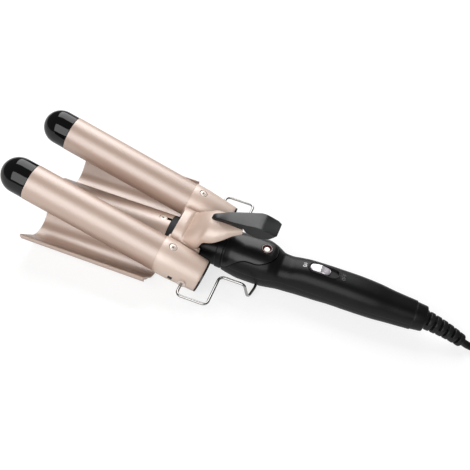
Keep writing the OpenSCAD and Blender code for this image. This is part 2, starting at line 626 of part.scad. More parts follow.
module lever_screw() {
  color([0.6, 0.6, 0.62]) open_jaw() translate([lever_screw_x, 0, trough_z]) {
    translate([0, 0, 24.95]) cylinder(d = 5, h = 1.7, $fn = 24);
    translate([0, 0, 26.6]) cylinder(d = 2.8, h = 6.2, $fn = 24);
  }
}

// Stand wire: corner points, a round bend at each corner, and exact pins in the eyelets
arm_y = 51.2;
inner_y = 24.4;
arm_x = -14.6;
dip_x = 2.9;
half_wire = [[hinge_x, -trough_y - 15, hinge_z], [hinge_x, -arm_y, hinge_z],
  [arm_x, -arm_y, hinge_z], [arm_x, -inner_y, hinge_z],
  [dip_x, -inner_y, hinge_z], [foot_x - 1.9, -inner_y, foot_z - 1.8], [foot_x, -15.6, foot_z]];
wire_pts = concat(half_wire,
  [for (i = [len(half_wire) - 1 : -1 : 0]) [half_wire[i][0], -half_wire[i][1], half_wire[i][2]]]);
function unit(v) = v / norm(v);
function corner(p, q, r, b, n = 5) = let (u = unit(q - p), t = unit(r - q), a = acos(u * t),
  l = b * tan(a / 2),
    v = unit(t - (t * u) * u), c = q - l * u + b * v)
  [for (i = [0 : n]) c + b * (sin(a * i / n) * u - cos(a * i / n) * v)];
module stand_wire() {
  n = len(wire_pts);
  color([0.8, 0.8, 0.82]) union() {
    mirrored() translate([hinge_x, 0, hinge_z]) along_y(trough_y + 6, arm_y - wire_bend, wire_r, 24);
    tube(concat([wire_pts[0]],
      [for (i = [1 : n - 2]) each corner(wire_pts[i - 1], wire_pts[i], wire_pts[i + 1], wire_bend)],
      [wire_pts[n - 1]]), wire_r * 0.99, 10, unit([0.35, 0.1, 1]));
  }
}
module stand_eyelets() {
  color([0.8, 0.8, 0.82]) open_jaw() mirrored() translate([hinge_x, 0, hinge_z]) difference() {
    along_y(eyelet_y + 0.45, eyelet_y + 1.2, 3);
    along_y(eyelet_y, eyelet_y + 4, wire_r + run_gap);
  }
}

// Cord: the free stretch, a coil in two layers, and a tail that turns back beside it to the plug
cord_r = cord_d / 2;
floor_z = cord_r + 0.1;
relief_end = relief_p(1);
relief_out = [cos(relief_a(1)), 0, -sin(relief_a(1))];
coil_c = [240, 8];
coil_z = floor_z + 0.8;
coil_turns = 4;
coil_lay = cord_d + 0.6;
coil_in = 19;
coil_out = coil_in + coil_turns * coil_lay;
route = [[162.4, 0, 0.1], [168, 0, 0], [175, -0.8, 0], [182, -3.4, 0], [189, -8, 0], [196, -13.8, 0],
  [203, -20, 0],
  [210, -25.6, 0], [217, -29.9, 0.1], [224, -32.7, 0.4], [230, -33.9, 0.7]];
module power_cord() {
  color([0.04, 0.04, 0.04]) tube(concat([relief_end, relief_end + cord_d * relief_out],
    [for (p = route) [p[0], p[1], floor_z + p[2]]], [[coil_c[0] - 5, coil_c[1] - coil_out, coil_z],
      [coil_c[0], coil_c[1] - coil_out, coil_z]]), cord_r, 10);
}
// In over the first turns, up a layer in half a turn, then out again; 24 rings a turn
function coil_p(t) = let (
    half = coil_turns * 360,
    s = (t - half) / 180,
    r = t <= half ? coil_out - coil_lay * t / 360
      : (s <= 1 ? coil_in - 1.6 * sin(180 * s) : coil_in + coil_lay * (s - 1) / 2),
    z = t <= half ? 0 : (s <= 1 ? coil_lay * (1 - cos(180 * s)) / 2 : coil_lay))
  [coil_c[0] + r * cos(t - 90), coil_c[1] + r * sin(t - 90), coil_z + z];
coil_rings = (2 * coil_turns * 360 + 180) / 15;
coil_path = [for (i = [0 : coil_rings]) coil_p(15 * i)];
// Least gap between two stretches of the coil, measured on the rings' centres
echo(coil_gap = min([for (i = [0 : coil_rings - 8]) for (j = [i + 8 : coil_rings])
  norm(coil_path[i] - coil_path[j])]) - cord_d);
echo(coil_length = 2 * PI * (coil_in + coil_out) * coil_turns + PI * coil_in);
module cord_coil() { color([0.04, 0.04, 0.04]) tube(coil_path, cord_r, 6); }

// Tail: a half turn of radius 16 that sags to the floor and rises to the plug
tail_r = 16;
tail_c = [coil_c[0] - 14, coil_c[1] + coil_out + tail_r];
plug_z = 7;
plug_x0 = tail_c[0] + 7;
tail_path = concat([[coil_c[0], coil_c[1] + coil_out, coil_z + coil_lay],
  [coil_c[0] - 6, coil_c[1] + coil_out, coil_z + coil_lay]],
  [for (i = [0 : 12]) let (a = -90 - 15 * i, c = (1 + cos(30 * i)) / 2,
    h = i < 6 ? coil_z + coil_lay : plug_z)
    [tail_c[0] + tail_r * cos(a), tail_c[1] + tail_r * sin(a), floor_z + (h - floor_z) * c]],
  [[plug_x0, tail_c[1] + tail_r, plug_z]]);
module cord_tail() { color([0.04, 0.04, 0.04]) tube(tail_path, cord_r, 10); }
plug_y = tail_c[1] + tail_r;
module plug_body() {
  color([0.05, 0.05, 0.05]) translate([0, plug_y, 0])
    loft([sect(plug_x0, plug_z, 4.2, 4.2, 4.2, 2, 24), sect(plug_x0 + 20, plug_z, 5.6, 5.4, 5.4, 2, 24),
      sect(plug_x0 + 24, plug_z, 9, 6.2, 6.2, 2.6, 24), sect(plug_x0 + 32, plug_z, 15, 6.8, 6.8, 3.6, 24),
      sect(plug_x0 + 44, plug_z, 17.4, 6.9, 6.9, 4.2, 24),
      sect(plug_x0 + 55, plug_z, 17.6, 6.9, 6.9, 4.2, 24),
      sect(plug_x0 + 56, plug_z, 16.8, 6.1, 6.1, 4.2, 24)]);
}
module plug_pins() {
  color([0.8, 0.76, 0.6]) for (s = [-1, 1])
    translate([plug_x0 + 56.1, plug_y + s * plug_pitch / 2, plug_z]) union() {
    along_x(0, 19 - plug_pin_d / 2, plug_pin_d / 2, 32);
    translate([19 - plug_pin_d / 2, 0, 0]) sphere(d = plug_pin_d, $fn = 32);
  }
}
// Strap round the coil where both layers lie over each other
module cord_tie() {
  x0 = coil_c[0] - coil_out + 0.75 * coil_lay - cord_r - 1.5;
  x1 = coil_c[0] - coil_in - 0.25 * coil_lay + cord_r + 1.5;
  z1 = coil_z + coil_lay + cord_r + 0.3;
  color([0.08, 0.08, 0.08]) translate([0, coil_c[1] + 4, 0]) rotate([90, 0, 0]) linear_extrude(8)
    difference() {
    translate([x0 + 2, 2.02]) offset(r = 2, $fn = 24) square([x1 - x0 - 4, z1 - 3.3]);
    translate([x0 + 2.1, 2.12]) offset(r = 1.4, $fn = 24) square([x1 - x0 - 4.2, z1 - 3.5]);
  }
}

handle_lower_shell();
handle_upper_shell();
saddle_cover();
neck_housing();
insulating_collar();
wave_plate();
plate_screw();
middle_heater();
heater_cover();
indicator_bezel();
indicator_lens();
switch_bezel();
switch_knob();
switch_block();
circuit_board();
rear_collar();
strain_relief();
hinge_pin();
jaw_spring();
yoke_housing();
near_barrel();
far_barrel();
near_tip_cap();
far_tip_cap();
near_end_cap();
far_end_cap();
near_heater();
far_heater();
holder_screws();
thumb_lever();
lever_screw();
stand_wire();
stand_eyelets();
shell_screws();
power_cord();
cord_coil();
cord_tail();
cord_tie();
plug_body();
plug_pins();
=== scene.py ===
import json
import math

import bmesh
import bpy
from mathutils import Matrix, Vector


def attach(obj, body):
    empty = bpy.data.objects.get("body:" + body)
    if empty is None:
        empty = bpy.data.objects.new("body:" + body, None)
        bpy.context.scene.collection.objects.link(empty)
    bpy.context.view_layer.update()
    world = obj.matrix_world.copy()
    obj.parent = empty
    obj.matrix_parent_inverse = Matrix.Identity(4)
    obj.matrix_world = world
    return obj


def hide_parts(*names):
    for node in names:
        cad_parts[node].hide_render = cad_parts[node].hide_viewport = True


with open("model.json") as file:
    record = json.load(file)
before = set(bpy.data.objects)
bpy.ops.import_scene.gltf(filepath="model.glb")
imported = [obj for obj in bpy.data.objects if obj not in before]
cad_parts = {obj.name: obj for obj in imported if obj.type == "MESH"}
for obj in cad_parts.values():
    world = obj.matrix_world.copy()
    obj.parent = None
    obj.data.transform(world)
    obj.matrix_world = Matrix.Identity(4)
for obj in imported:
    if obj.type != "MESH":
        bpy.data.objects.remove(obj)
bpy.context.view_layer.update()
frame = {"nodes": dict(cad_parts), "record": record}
scene = bpy.context.scene
scene.view_settings.view_transform = "Standard"

# Sizes in millimetres, the same as in part.scad
MM = 0.001
HINGE = Vector((-36.2, 0, 15))
JAW_OPEN = math.radians(15.5)
BARREL_R = 12.5
BARREL_L = 96.7
CAP_SKIRT = 8.5
TROUGH_Y = 28.5
TROUGH_R = 13.4
TROUGH_Z = 16.1
WAVE_ANGLE = 74
RIDGE_R = TROUGH_Y / math.sin(math.radians(WAVE_ANGLE)) - TROUGH_R
RIDGE_Z = TROUGH_Z - (TROUGH_R + RIDGE_R) * math.cos(math.radians(WAVE_ANGLE))
RIDGE_TOP = RIDGE_Z + RIDGE_R
PLATE_T = 3
PLATE_X0, PLATE_X1 = -149.5, -56
PLATE_HW = 51.3
COLLAR_W, COLLAR_HW = 5.6, 13.5
SCREW_X, SCREW_Y = -68.1, 2.2
HOLDER_X0, HOLDER_L = -59.9, 33
HOLDER_X1 = HOLDER_X0 + HOLDER_L
HOLDER_R, HOLDER_REAR_R = 13.0, 11.6
BARREL_X0 = HOLDER_X0 - BARREL_L
GRIP_X0, GRIP_X1 = -18, 116.5
COLLAR_L = 8
REAR_Z = 14.4
SPLIT_Z = 14.8
FOOT_X, FOOT_Z = 8.8, 4.6
WIRE_R = 1.0
LIGHT_X = 9.3
LIGHT_AXIS = (LIGHT_X, 0, 0), (0, 0, 1)
SWITCH_X, SWITCH_Z = 50.6, 27.9
BUTTON_L, BUTTON_W, BUTTON_TRAVEL = 14.2, 6.6, 5.5
CORD_R = 2.6
FLOOR_Z = CORD_R + 0.1


# Camera of the photograph, from the fit of the barrels and the grip
CAM_AT = Vector((50.6, -322.8, 380.3))
FOCAL_PX, PHOTO_PX = 700, 470
cam_data = bpy.data.cameras.new("camera")
cam = bpy.data.objects.new("camera", cam_data)
scene.collection.objects.link(cam)
scene.camera = cam
cam_right = Vector((0.9378, 0.3239, 0.1249)).normalized()
cam_back = Vector((0.1361, -0.674, 0.726)).normalized()
cam_up = cam_back.cross(cam_right).normalized()
cam_right = cam_up.cross(cam_back).normalized()
cam_turn = Matrix((cam_right, cam_up, cam_back)).transposed().to_4x4()
cam.matrix_world = Matrix.Translation(CAM_AT * MM) @ cam_turn
cam_data.sensor_width = 36
cam_data.lens = 36 * FOCAL_PX / PHOTO_PX
cam_data.clip_start = 0.01
cam_data.clip_end = 20


# Mesh helpers, all in millimetres
def opened(p):
    """A point of the closed jaw where the photographed jaw holds it."""
    v = Vector(p) - HINGE
    c, s = math.cos(JAW_OPEN), math.sin(JAW_OPEN)
    return HINGE + Vector((v.x * c + v.z * s, v.y, -v.x * s + v.z * c))


def round_edges(obj, width, angle, segments=3):
    mod = obj.modifiers.new("edge", "BEVEL")
    mod.width = width
    mod.segments = segments
    mod.limit_method = "ANGLE"
    mod.angle_limit = angle


def add(name, verts, faces, slot, body, replaces=(), jaw=False, sharp=35, bevel=0.0, bevel_angle=35,
        segments=3, look=None):
    """A mesh piece that takes the slot's material, or the one named by look, and rides on a body."""
    place = opened if jaw else Vector
    me = bpy.data.meshes.new(name)
    me.from_pydata([place(v) * MM for v in verts], [], faces)
    bm = bmesh.new()
    bm.from_mesh(me)
    bmesh.ops.remove_doubles(bm, verts=bm.verts, dist=1e-7)
    bmesh.ops.recalc_face_normals(bm, faces=bm.faces)
    bm.to_mesh(me)
    bm.free()
    obj = bpy.data.objects.new(name, me)
    scene.collection.objects.link(obj)
    if slot:
        me.materials.append(MAT[look or slot])
        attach(obj, body)
        if replaces:
            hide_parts(*replaces)
    if bevel:
        round_edges(obj, bevel * MM, math.radians(bevel_angle), segments)
    me.shade_smooth()
    me.set_sharp_from_angle(angle=math.radians(sharp))
    return obj


def apply_modifiers(obj):
    deps = bpy.context.evaluated_depsgraph_get()
    me = bpy.data.meshes.new_from_object(obj.evaluated_get(deps))
    old = obj.data
    obj.modifiers.clear()
    obj.data = me
    bpy.data.meshes.remove(old)


def cut(obj, *cutters, sharp=35):
    """Cuts plain meshes out of a piece and removes them."""
    bevels = [m for m in obj.modifiers if m.type == "BEVEL"]
    kept = [(m.width, m.angle_limit, m.segments) for m in bevels]
    for m in bevels:
        obj.modifiers.remove(m)
    for c in cutters:
        mod = obj.modifiers.new("cut", "BOOLEAN")
        mod.operation = "DIFFERENCE"
        mod.solver = "EXACT"
        mod.object = c
    apply_modifiers(obj)
    for c in cutters:
        me = c.data
        bpy.data.objects.remove(c)
        bpy.data.meshes.remove(me)
    for edge in kept:
        round_edges(obj, *edge)
    obj.data.set_sharp_from_angle(angle=math.radians(sharp))
    return obj


def loft(rings, closed=True, caps=True):
    n = len(rings[0])
    verts = [p for r in rings for p in r]
    faces = []
    for j in range(len(rings) - 1):
        for i in range(n if closed else n - 1):
            k = (i + 1) % n
            faces.append((j * n + i, j * n + k, (j + 1) * n + k, (j + 1) * n + i))
    if caps:
        faces.append(tuple(range(n - 1, -1, -1)))
        faces.append(tuple((len(rings) - 1) * n + i for i in range(n)))
    return verts, faces


def cosd(a):
    return math.cos(math.radians(a))


def sind(a):
    return math.sin(math.radians(a))


def turns(n):
    """The angles of n equal steps round."""
    return [2 * math.pi * k / n for k in range(n)]


def ring_round(c, r, u, w, n):
    """A ring of n points of radius r round c, in the plane of u and w."""
    return [c + r * (math.cos(a) * u + math.sin(a) * w) for a in turns(n)]


def lathe(profile, y=0.0, z=0.0, n=96):
    """Rings round an axis along X through y and z; the profile holds x and radius."""
    return loft([[(x, y + r * math.cos(a), z + r * math.sin(a)) for a in turns(n)] for x, r in profile])


def lathe_about(profile, at, axis, n=48):
    """Rings about any axis; the profile holds distance along it and radius."""
    axis = Vector(axis).normalized()
    u = axis.orthogonal().normalized()
    w = axis.cross(u)
    return loft([ring_round(Vector(at) + axis * d, r, u, w, n) for d, r in profile])


def prism(outline, axis, a, b):
    """A closed outline pushed along one axis from a to b; its pairs are the other two axes in order."""
    put = {"x": lambda p, t: (t, p[0], p[1]), "y": lambda p, t: (p[0], t, p[1]),
           "z": lambda p, t: (p[0], p[1], t)}[axis]
    return loft([[put(p, a) for p in outline], [put(p, b) for p in outline]])


def box_mesh(x0, x1, y0, y1, z0, z1):
    return prism([(x0, y0), (x1, y0), (x1, y1), (x0, y1)], "z", z0, z1)


def cutter(verts_faces, jaw=False):
    return add("cutter", *verts_faces, None, None, jaw=jaw)


def arc(cy, cz, r, a0, a1, n):
    """Points on a circle; angles in degrees, from the first axis to the second."""
    angles = [a0 + (a1 - a0) * i / n for i in range(n + 1)]
    return [(cy + r * cosd(a), cz + r * sind(a)) for a in angles]


def tube(path, radius, n=16):
    """A round tube along a path, with a frame carried from ring to ring."""
    path = [Vector(p) for p in path]
    rings = []
    side = None
    for i, p in enumerate(path):
        d = (path[min(i + 1, len(path) - 1)] - path[max(i - 1, 0)]).normalized()
        side = d.orthogonal().normalized() if side is None else (side - d * side.dot(d)).normalized()
        up = d.cross(side)
        rings.append(ring_round(p, radius, side, up, n))
    return loft(rings)


def through(points, steps):
    """A smooth line through given points, the same way as a Catmull-Rom curve."""
    pts = [Vector(p) for p in points]
    pts = [2 * pts[0] - pts[1]] + pts + [2 * pts[-1] - pts[-2]]
    out = []
    for i in range(1, len(pts) - 2):
        a, b, c, d = pts[i - 1:i + 3]
        for k in range(steps):
            t = k / steps
            out.append(0.5 * ((2 * b) + (c - a) * t + (2 * a - 5 * b + 4 * c - d) * t * t
                              + (3 * b - a - 3 * c + d) * t ** 3))
    return out + [pts[-2]]


def rows_at(rows, x):
    """Values between rows of a station table, eased so that the slope is smooth."""
    if x <= rows[0][0]:
        return list(rows[0][1:])
    if x >= rows[-1][0]:
        return list(rows[-1][1:])
    i = max(k for k in range(len(rows) - 1) if rows[k][0] <= x)
    x0, x1 = rows[i][0], rows[i + 1][0]
    t = (x - x0) / (x1 - x0)
    out = []
    for c in range(1, len(rows[0])):
        def slope(k):
            if k <= 0 or k >= len(rows) - 1:
                j = 0 if k <= 0 else len(rows) - 2
                return (rows[j + 1][c] - rows[j][c]) / (rows[j + 1][0] - rows[j][0])
            s0 = (rows[k][c] - rows[k - 1][c]) / (rows[k][0] - rows[k - 1][0])
            s1 = (rows[k + 1][c] - rows[k][c]) / (rows[k + 1][0] - rows[k][0])
            return 0.0 if s0 * s1 <= 0 else 2 * s0 * s1 / (s0 + s1)
        p0, p1, m0, m1 = rows[i][c], rows[i + 1][c], slope(i) * (x1 - x0), slope(i + 1) * (x1 - x0)
        out.append((2 * t ** 3 - 3 * t * t + 1) * p0 + (t ** 3 - 2 * t * t + t) * m0
                   + (-2 * t ** 3 + 3 * t * t) * p1 + (t ** 3 - t * t) * m1)
    return out


def steps_between(a, b, n):
    return [a + (b - a) * i / n for i in range(n + 1)]


def power(v, k):
    return math.copysign(abs(v) ** k, v)


def section(x, z, w, t, b, p, a):
    """A point of a superellipse section at angle a: half width w, up t, down b."""
    c, s = math.cos(a), math.sin(a)
    return Vector((x, w * power(c, 2 / p), z + (t if s >= 0 else b) * power(s, 2 / p)))


# Materials: one node tree with colour variation, grain and a roughness of its own
def blank(name):
    """A material with an empty node tree, and that tree."""
    m = bpy.data.materials.new(name)
    m.use_nodes = True
    m.node_tree.nodes.clear()
    return m, m.node_tree


def node(nt, kind, **values):
    n = nt.nodes.new(kind)
    for k, v in values.items():
        if k in n.inputs:
            n.inputs[k].default_value = v
        else:
            setattr(n, k, v)
    return n


def surface(name, color, rough, metallic=0.0, vary=0.04, grain=0.04, grain_scale=1500, rough_vary=0.04,
            coat=0.0, coat_rough=0.1, coat_ior=1.5, spec=0.5, wear=0.0, wear_color=(0.5, 0.5, 0.5),
            rim=1.0, glow=None):
    """A moulding, paint or metal; vary and grain are tone and bump, rim the share of gloss at its edges."""
    m, nt = blank(name)
    link = nt.links.new
    out = node(nt, "ShaderNodeOutputMaterial")
    bsdf = node(nt, "ShaderNodeBsdfPrincipled")
    link(bsdf.outputs["BSDF"], out.inputs["Surface"])
    where = node(nt, "ShaderNodeTexCoord")
    wide = node(nt, "ShaderNodeTexNoise", Scale=45, Detail=4.0, Roughness=0.6)
    fine = node(nt, "ShaderNodeTexNoise", Scale=grain_scale, Detail=3.0, Roughness=0.6)
    for n in (wide, fine):
        link(where.outputs["Object"], n.inputs["Vector"])
    tone = node(nt, "ShaderNodeValToRGB")
    tone.color_ramp.elements[0].position = 0.3
    tone.color_ramp.elements[1].position = 0.7
    tone.color_ramp.elements[0].color = [c * (1 - vary) for c in color] + [1]
    tone.color_ramp.elements[1].color = [min(1, c * (1 + vary)) for c in color] + [1]
    link(wide.outputs["Fac"], tone.inputs["Fac"])
    shade = tone.outputs["Color"]
    if wear:
        edge = node(nt, "ShaderNodeNewGeometry")
        ramp = node(nt, "ShaderNodeValToRGB")
        ramp.color_ramp.elements[0].position = 0.515
        ramp.color_ramp.elements[1].position = 0.6
        link(edge.outputs["Pointiness"], ramp.inputs["Fac"])
        speck = node(nt, "ShaderNodeMath", operation="MULTIPLY")
        link(ramp.outputs["Color"], speck.inputs[0])
        link(fine.outputs["Fac"], speck.inputs[1])
        amount = node(nt, "ShaderNodeMath", operation="MULTIPLY")
        link(speck.outputs[0], amount.inputs[0])
        amount.inputs[1].default_value = wear
        mix = node(nt, "ShaderNodeMix", data_type="RGBA")
        link(amount.outputs[0], mix.inputs["Factor"])
        link(shade, mix.inputs[6])
        mix.inputs[7].default_value = (*wear_color, 1)
        shade = mix.outputs[2]
    link(shade, bsdf.inputs["Base Color"])
    gloss = node(nt, "ShaderNodeMapRange")
    gloss.inputs["To Min"].default_value = max(0.02, rough - rough_vary)
    gloss.inputs["To Max"].default_value = min(1.0, rough + rough_vary)
    link(wide.outputs["Fac"], gloss.inputs["Value"])
    link(gloss.outputs["Result"], bsdf.inputs["Roughness"])
    bump = node(nt, "ShaderNodeBump", Strength=grain, Distance=0.0001)
    link(fine.outputs["Fac"], bump.inputs["Height"])
    link(bump.outputs["Normal"], bsdf.inputs["Normal"])
    bsdf.inputs["Metallic"].default_value = metallic
    bsdf.inputs["Specular IOR Level"].default_value = spec
    bsdf.inputs["Coat Weight"].default_value = coat
    # Less gloss where the surface turns away
    for socket, value in (("Coat Weight", coat), ("Specular IOR Level", spec)):
        if rim < 1 and value:
            turn = node(nt, "ShaderNodeLayerWeight", Blend=0.5)
            fade = node(nt, "ShaderNodeMapRange")
            fade.inputs["From Min"].default_value = 0.32
            fade.inputs["From Max"].default_value = 0.85
            fade.inputs["To Min"].default_value = value
            fade.inputs["To Max"].default_value = value * rim
            link(turn.outputs["Facing"], fade.inputs["Value"])
            link(fade.outputs["Result"], bsdf.inputs[socket])
    bsdf.inputs["Coat Roughness"].default_value = coat_rough
    bsdf.inputs["Coat IOR"].default_value = coat_ior
    if glow:
        bsdf.inputs["Emission Color"].default_value = (*glow[0], 1)
        bsdf.inputs["Emission Strength"].default_value = glow[1]
    return m


ROSE = (0.425, 0.292, 0.226)
ROSE_WORN = (0.7, 0.58, 0.5)
GRIP_BLACK = (0.0035, 0.0035, 0.0037)
MAT = {
    "plate_coat": surface("plate_coat", ROSE, 0.45, 0.2, vary=0.02, grain=0.08, grain_scale=3200, coat=1.0,
                          coat_rough=0.36, coat_ior=2.02, wear=0.2, wear_color=ROSE_WORN, rim=0.4),
    "rose_gold": surface("rose_gold_coat", ROSE, 0.5, 0.15, vary=0.02, grain=0.08, grain_scale=3200,
                         coat=1.0, coat_rough=0.44, coat_ior=2.1, wear=0.2, wear_color=ROSE_WORN, rim=0.2),
    # The yoke's rose paint, lighter than the barrels' rose partly to offset the shade on its slopes: partly
    # painted light
    "rose_housing": surface("rose_housing_paint", (0.56, 0.415, 0.335), 0.5, 0.1, vary=0.02, grain=0.12,
                            grain_scale=3000, coat=1.0, coat_rough=0.45, coat_ior=2.12, wear=0.15,
                            wear_color=(0.7, 0.6, 0.52), rim=0.4),
    "gloss_black": surface("gloss_black_moulding", (0.003, 0.003, 0.0032), 0.06, vary=0.2, grain=0.01,
                           spec=0.31, rough_vary=0.01, wear=0.05, rim=0.05),
    "satin_black": surface("satin_black_grip", GRIP_BLACK, 0.37, vary=0.15, grain=0.12, grain_scale=2600,
                           spec=0.19, rough_vary=0.02, wear=0.06, rim=0.3),
    "lever_black": surface("lever_moulding", (0.005, 0.0055, 0.006), 0.30, vary=0.12, grain=0.06,
                           grain_scale=2400, spec=0.36, wear=0.06),
    "collar_black": surface("collar_moulding", (0.014, 0.016, 0.0175), 0.6, vary=0.1, grain=0.1,
                            grain_scale=2600, spec=0.3),
    # The grip's own plastic with more gloss: painted sheen for the stronger light on the saddle
    "saddle_black_sheen": surface("saddle_moulding", GRIP_BLACK, 0.30, vary=0.15, grain=0.08, grain_scale=2600,
                            spec=0.34, rough_vary=0.02, wear=0.06, rim=0.3),
    # Matt black without gloss: painted shade, for dark lines and slots where shade falls
    "seam": surface("seam_shadow", (0.002, 0.002, 0.002), 0.9, vary=0.1, spec=0.0),
    "mark_on": surface("mark_paint", (0.9, 0.9, 0.9), 0.5, vary=0.05),
    "mark_off": surface("mark_paint_dull", (0.10, 0.10, 0.10), 0.5, vary=0.1),
    "knob_silver": surface("knob_lacquer", (0.62, 0.58, 0.62), 0.24, 0.6, vary=0.04, grain=0.02, coat=0.5,
                           coat_rough=0.08),
    "pilot_bezel": surface("pilot_ring", (0.045, 0.012, 0.012), 0.12, vary=0.1, coat=0.6, coat_rough=0.04),
    "pilot_lens": surface("pilot_lens", (0.95, 0.78, 0.7), 0.15, vary=0.04, coat=0.6, coat_rough=0.05,
                          glow=((1.0, 0.78, 0.68), 0.6)),
    "screw_steel": surface("screw_plating", (0.64, 0.56, 0.51), 0.42, 0.5, vary=0.05, grain=0.08,
                           grain_scale=3000),
    "wire_chrome": surface("wire_chrome", (0.33, 0.325, 0.32), 0.16, 1.0, vary=0.04, grain=0.03),
    "spring_steel": surface("spring_steel", (0.4, 0.4, 0.42), 0.35, 1.0, vary=0.06, grain=0.1),
    "heater_alu": surface("heater_alu", (0.7, 0.7, 0.7), 0.4, 1.0, vary=0.06, grain=0.12),
    "inner_plastic": surface("inner_plastic", (0.4, 0.4, 0.38), 0.5, vary=0.06),
    "board": surface("board_laminate", (0.03, 0.16, 0.07), 0.4, vary=0.1),
    "cord_rubber": surface("cord_sheath", (0.004, 0.004, 0.0042), 0.36, vary=0.15, grain=0.12,
                           grain_scale=1800, spec=0.18, wear=0.08, rim=0.4),
    "tie_fabric": surface("strap_weave", (0.012, 0.012, 0.013), 0.8, vary=0.2, grain=0.6, grain_scale=1400),
    "plug_brass": surface("plug_pin_plating", (0.7, 0.66, 0.56), 0.22, 1.0, vary=0.05, grain=0.05),
}

slot_of = {s["node"]: s["material_slot"] for s in frame["record"]["subparts"]}
for name, obj in frame["nodes"].items():
    obj.data.materials.clear()
    obj.data.materials.append(MAT[slot_of[name]])


# Cord: the route of part.scad, made smooth
RELIEF_X0 = GRIP_X1 + COLLAR_L - 1.9
RELIEF_L, SLOPE, DROOP = 30.5, 4.0, 5.0
COIL_C = (240, 8)
COIL_Z = FLOOR_Z + 0.8
COIL_TURNS, COIL_LAY, COIL_IN = 4, 5.8, 19
COIL_OUT = COIL_IN + COIL_TURNS * COIL_LAY
ROUTE = [(162.4, 0, 0.1), (168, 0, 0), (175, -0.8, 0), (182, -3.4, 0), (189, -8, 0), (196, -13.8, 0),
         (203, -20, 0), (210, -25.6, 0), (217, -29.9, 0.1), (224, -32.7, 0.4), (230, -33.9, 0.7)]
TAIL_R = 16
TAIL_C = (COIL_C[0] - 14, COIL_C[1] + COIL_OUT + TAIL_R)
PLUG_Z = 7
PLUG_X0 = TAIL_C[0] + 7
PLUG_Y = TAIL_C[1] + TAIL_R


def relief_point(u):
    """A point of the relief's drooping axis, u from 0 at the collar to 1 at its end."""
    return Vector((RELIEF_X0 + RELIEF_L * u, 0, REAR_Z - SLOPE * u - DROOP * u * u))


def relief_dir(u):
    return Vector((RELIEF_L, 0, -SLOPE - 2 * DROOP * u)).normalized()


def coil_point(t):
    """In over the first turns, up a layer in half a turn, then out again; t in degrees."""
    half = COIL_TURNS * 360
    s = (t - half) / 180
    r, h = COIL_IN + COIL_LAY * (s - 1) / 2, COIL_LAY
    if t <= half:
        r, h = COIL_OUT - COIL_LAY * t / 360, 0
    elif s <= 1:
        r, h = COIL_IN - 1.6 * math.sin(math.pi * s), COIL_LAY * (1 - math.cos(math.pi * s)) / 2
    a = math.radians(t - 90)
    return Vector((COIL_C[0] + r * math.cos(a), COIL_C[1] + r * math.sin(a), COIL_Z + h))


def cord_route():
    start = relief_point(1)
    free = [start, start + 5.2 * relief_dir(1)] + [(x, y, FLOOR_Z + z) for x, y, z in ROUTE]
    free += [(COIL_C[0] - 5, COIL_C[1] - COIL_OUT, COIL_Z)]
    coil = [coil_point(15 * i) for i in range((2 * COIL_TURNS * 360 + 180) // 15 + 1)]
    top = COIL_Z + COIL_LAY
    tail = [(COIL_C[0] - 6, COIL_C[1] + COIL_OUT, top)]
    for i in range(13):
        a, c = math.radians(-90 - 15 * i), (1 + math.cos(math.radians(30 * i))) / 2
        h = top if i < 6 else PLUG_Z
        tail.append((TAIL_C[0] + TAIL_R * math.cos(a), TAIL_C[1] + TAIL_R * math.sin(a),
                     FLOOR_Z + (h - FLOOR_Z) * c))
    return free + coil + tail + [(PLUG_X0, PLUG_Y, PLUG_Z)]


def plug():
    rows = [(0, 4.2, 4.2, 2), (18, 5.5, 5.3, 2), (20, 5.6, 5.4, 2.1), (24, 9, 6.2, 2.6), (32, 15, 6.7, 3.6),
            (44, 17.3, 6.8, 4.2), (54.6, 17.5, 6.8, 4.2), (55.6, 17.2, 6.5, 4.2), (56, 16.6, 6.0, 4.2)]
    xs = steps_between(0, 54, 54) + [54.6, 55.1, 55.6, 55.8, 56]
    base = Vector((PLUG_X0, PLUG_Y, 0))
    groove_a, groove_b, pitch = 3, 18, 3.2
    rings = []
    for x in xs:
        w, h, p = rows_at(rows, x)
        # Finger grooves across the flat of the plug's neck
        wave = math.sin(2 * math.pi * (x - groove_a) / pitch)
        dent = 0.5 * max(0, wave) if groove_a < x < groove_b else 0
        rings.append([base + section(x, PLUG_Z, w - dent, h - dent, h - dent, p, a) for a in turns(64)])
    return add("plug_moulding", *loft(rings), "gloss_black", "handle", ["plug_body"], sharp=40)


def strap():
    """The strap round the coil, with its thickness and rounded corners."""
    x0 = COIL_C[0] - COIL_OUT + 0.75 * COIL_LAY - CORD_R - 1.5
    x1 = COIL_C[0] - COIL_IN - 0.25 * COIL_LAY + CORD_R + 1.5
    z0, z1 = 0.05, COIL_Z + COIL_LAY + CORD_R + 0.25
    half_w, thick, corner = 3.9, 0.55, 2

    def round_box(o):
        r = corner - o
        a, b, c, d = x0 + corner, x1 - corner, z0 + corner, z1 - corner
        corners = ((b, d, 0), (a, d, 90), (a, c, 180), (b, c, 270))
        return [p for x, z, turn in corners for p in arc(x, z, r, turn, turn + 90, 6)]

    outer, inner = round_box(0), round_box(thick)
    n = len(outer)
    verts, faces = [], []
    for y in (COIL_C[1] - half_w, COIL_C[1] + half_w):
        verts += [(x, y, z) for x, z in outer] + [(x, y, z) for x, z in inner]
    for i in range(n):
        k = (i + 1) % n
        faces += [(i, k, 2 * n + k, 2 * n + i), (n + k, n + i, 3 * n + i, 3 * n + k), (i, n + i, n + k, k),
                  (2 * n + k, 3 * n + k, 3 * n + i, 2 * n + i)]
    return add("strap", verts, faces, "tie_fabric", "handle", ["cord_tie"], bevel=0.15)


cord_path = through(cord_route(), 2)
cord_piece = add("cord", *tube(cord_path, CORD_R, 16), "cord_rubber", "handle",
                 ["power_cord", "cord_coil", "cord_tail"])
plug_piece = plug()
strap_piece = strap()


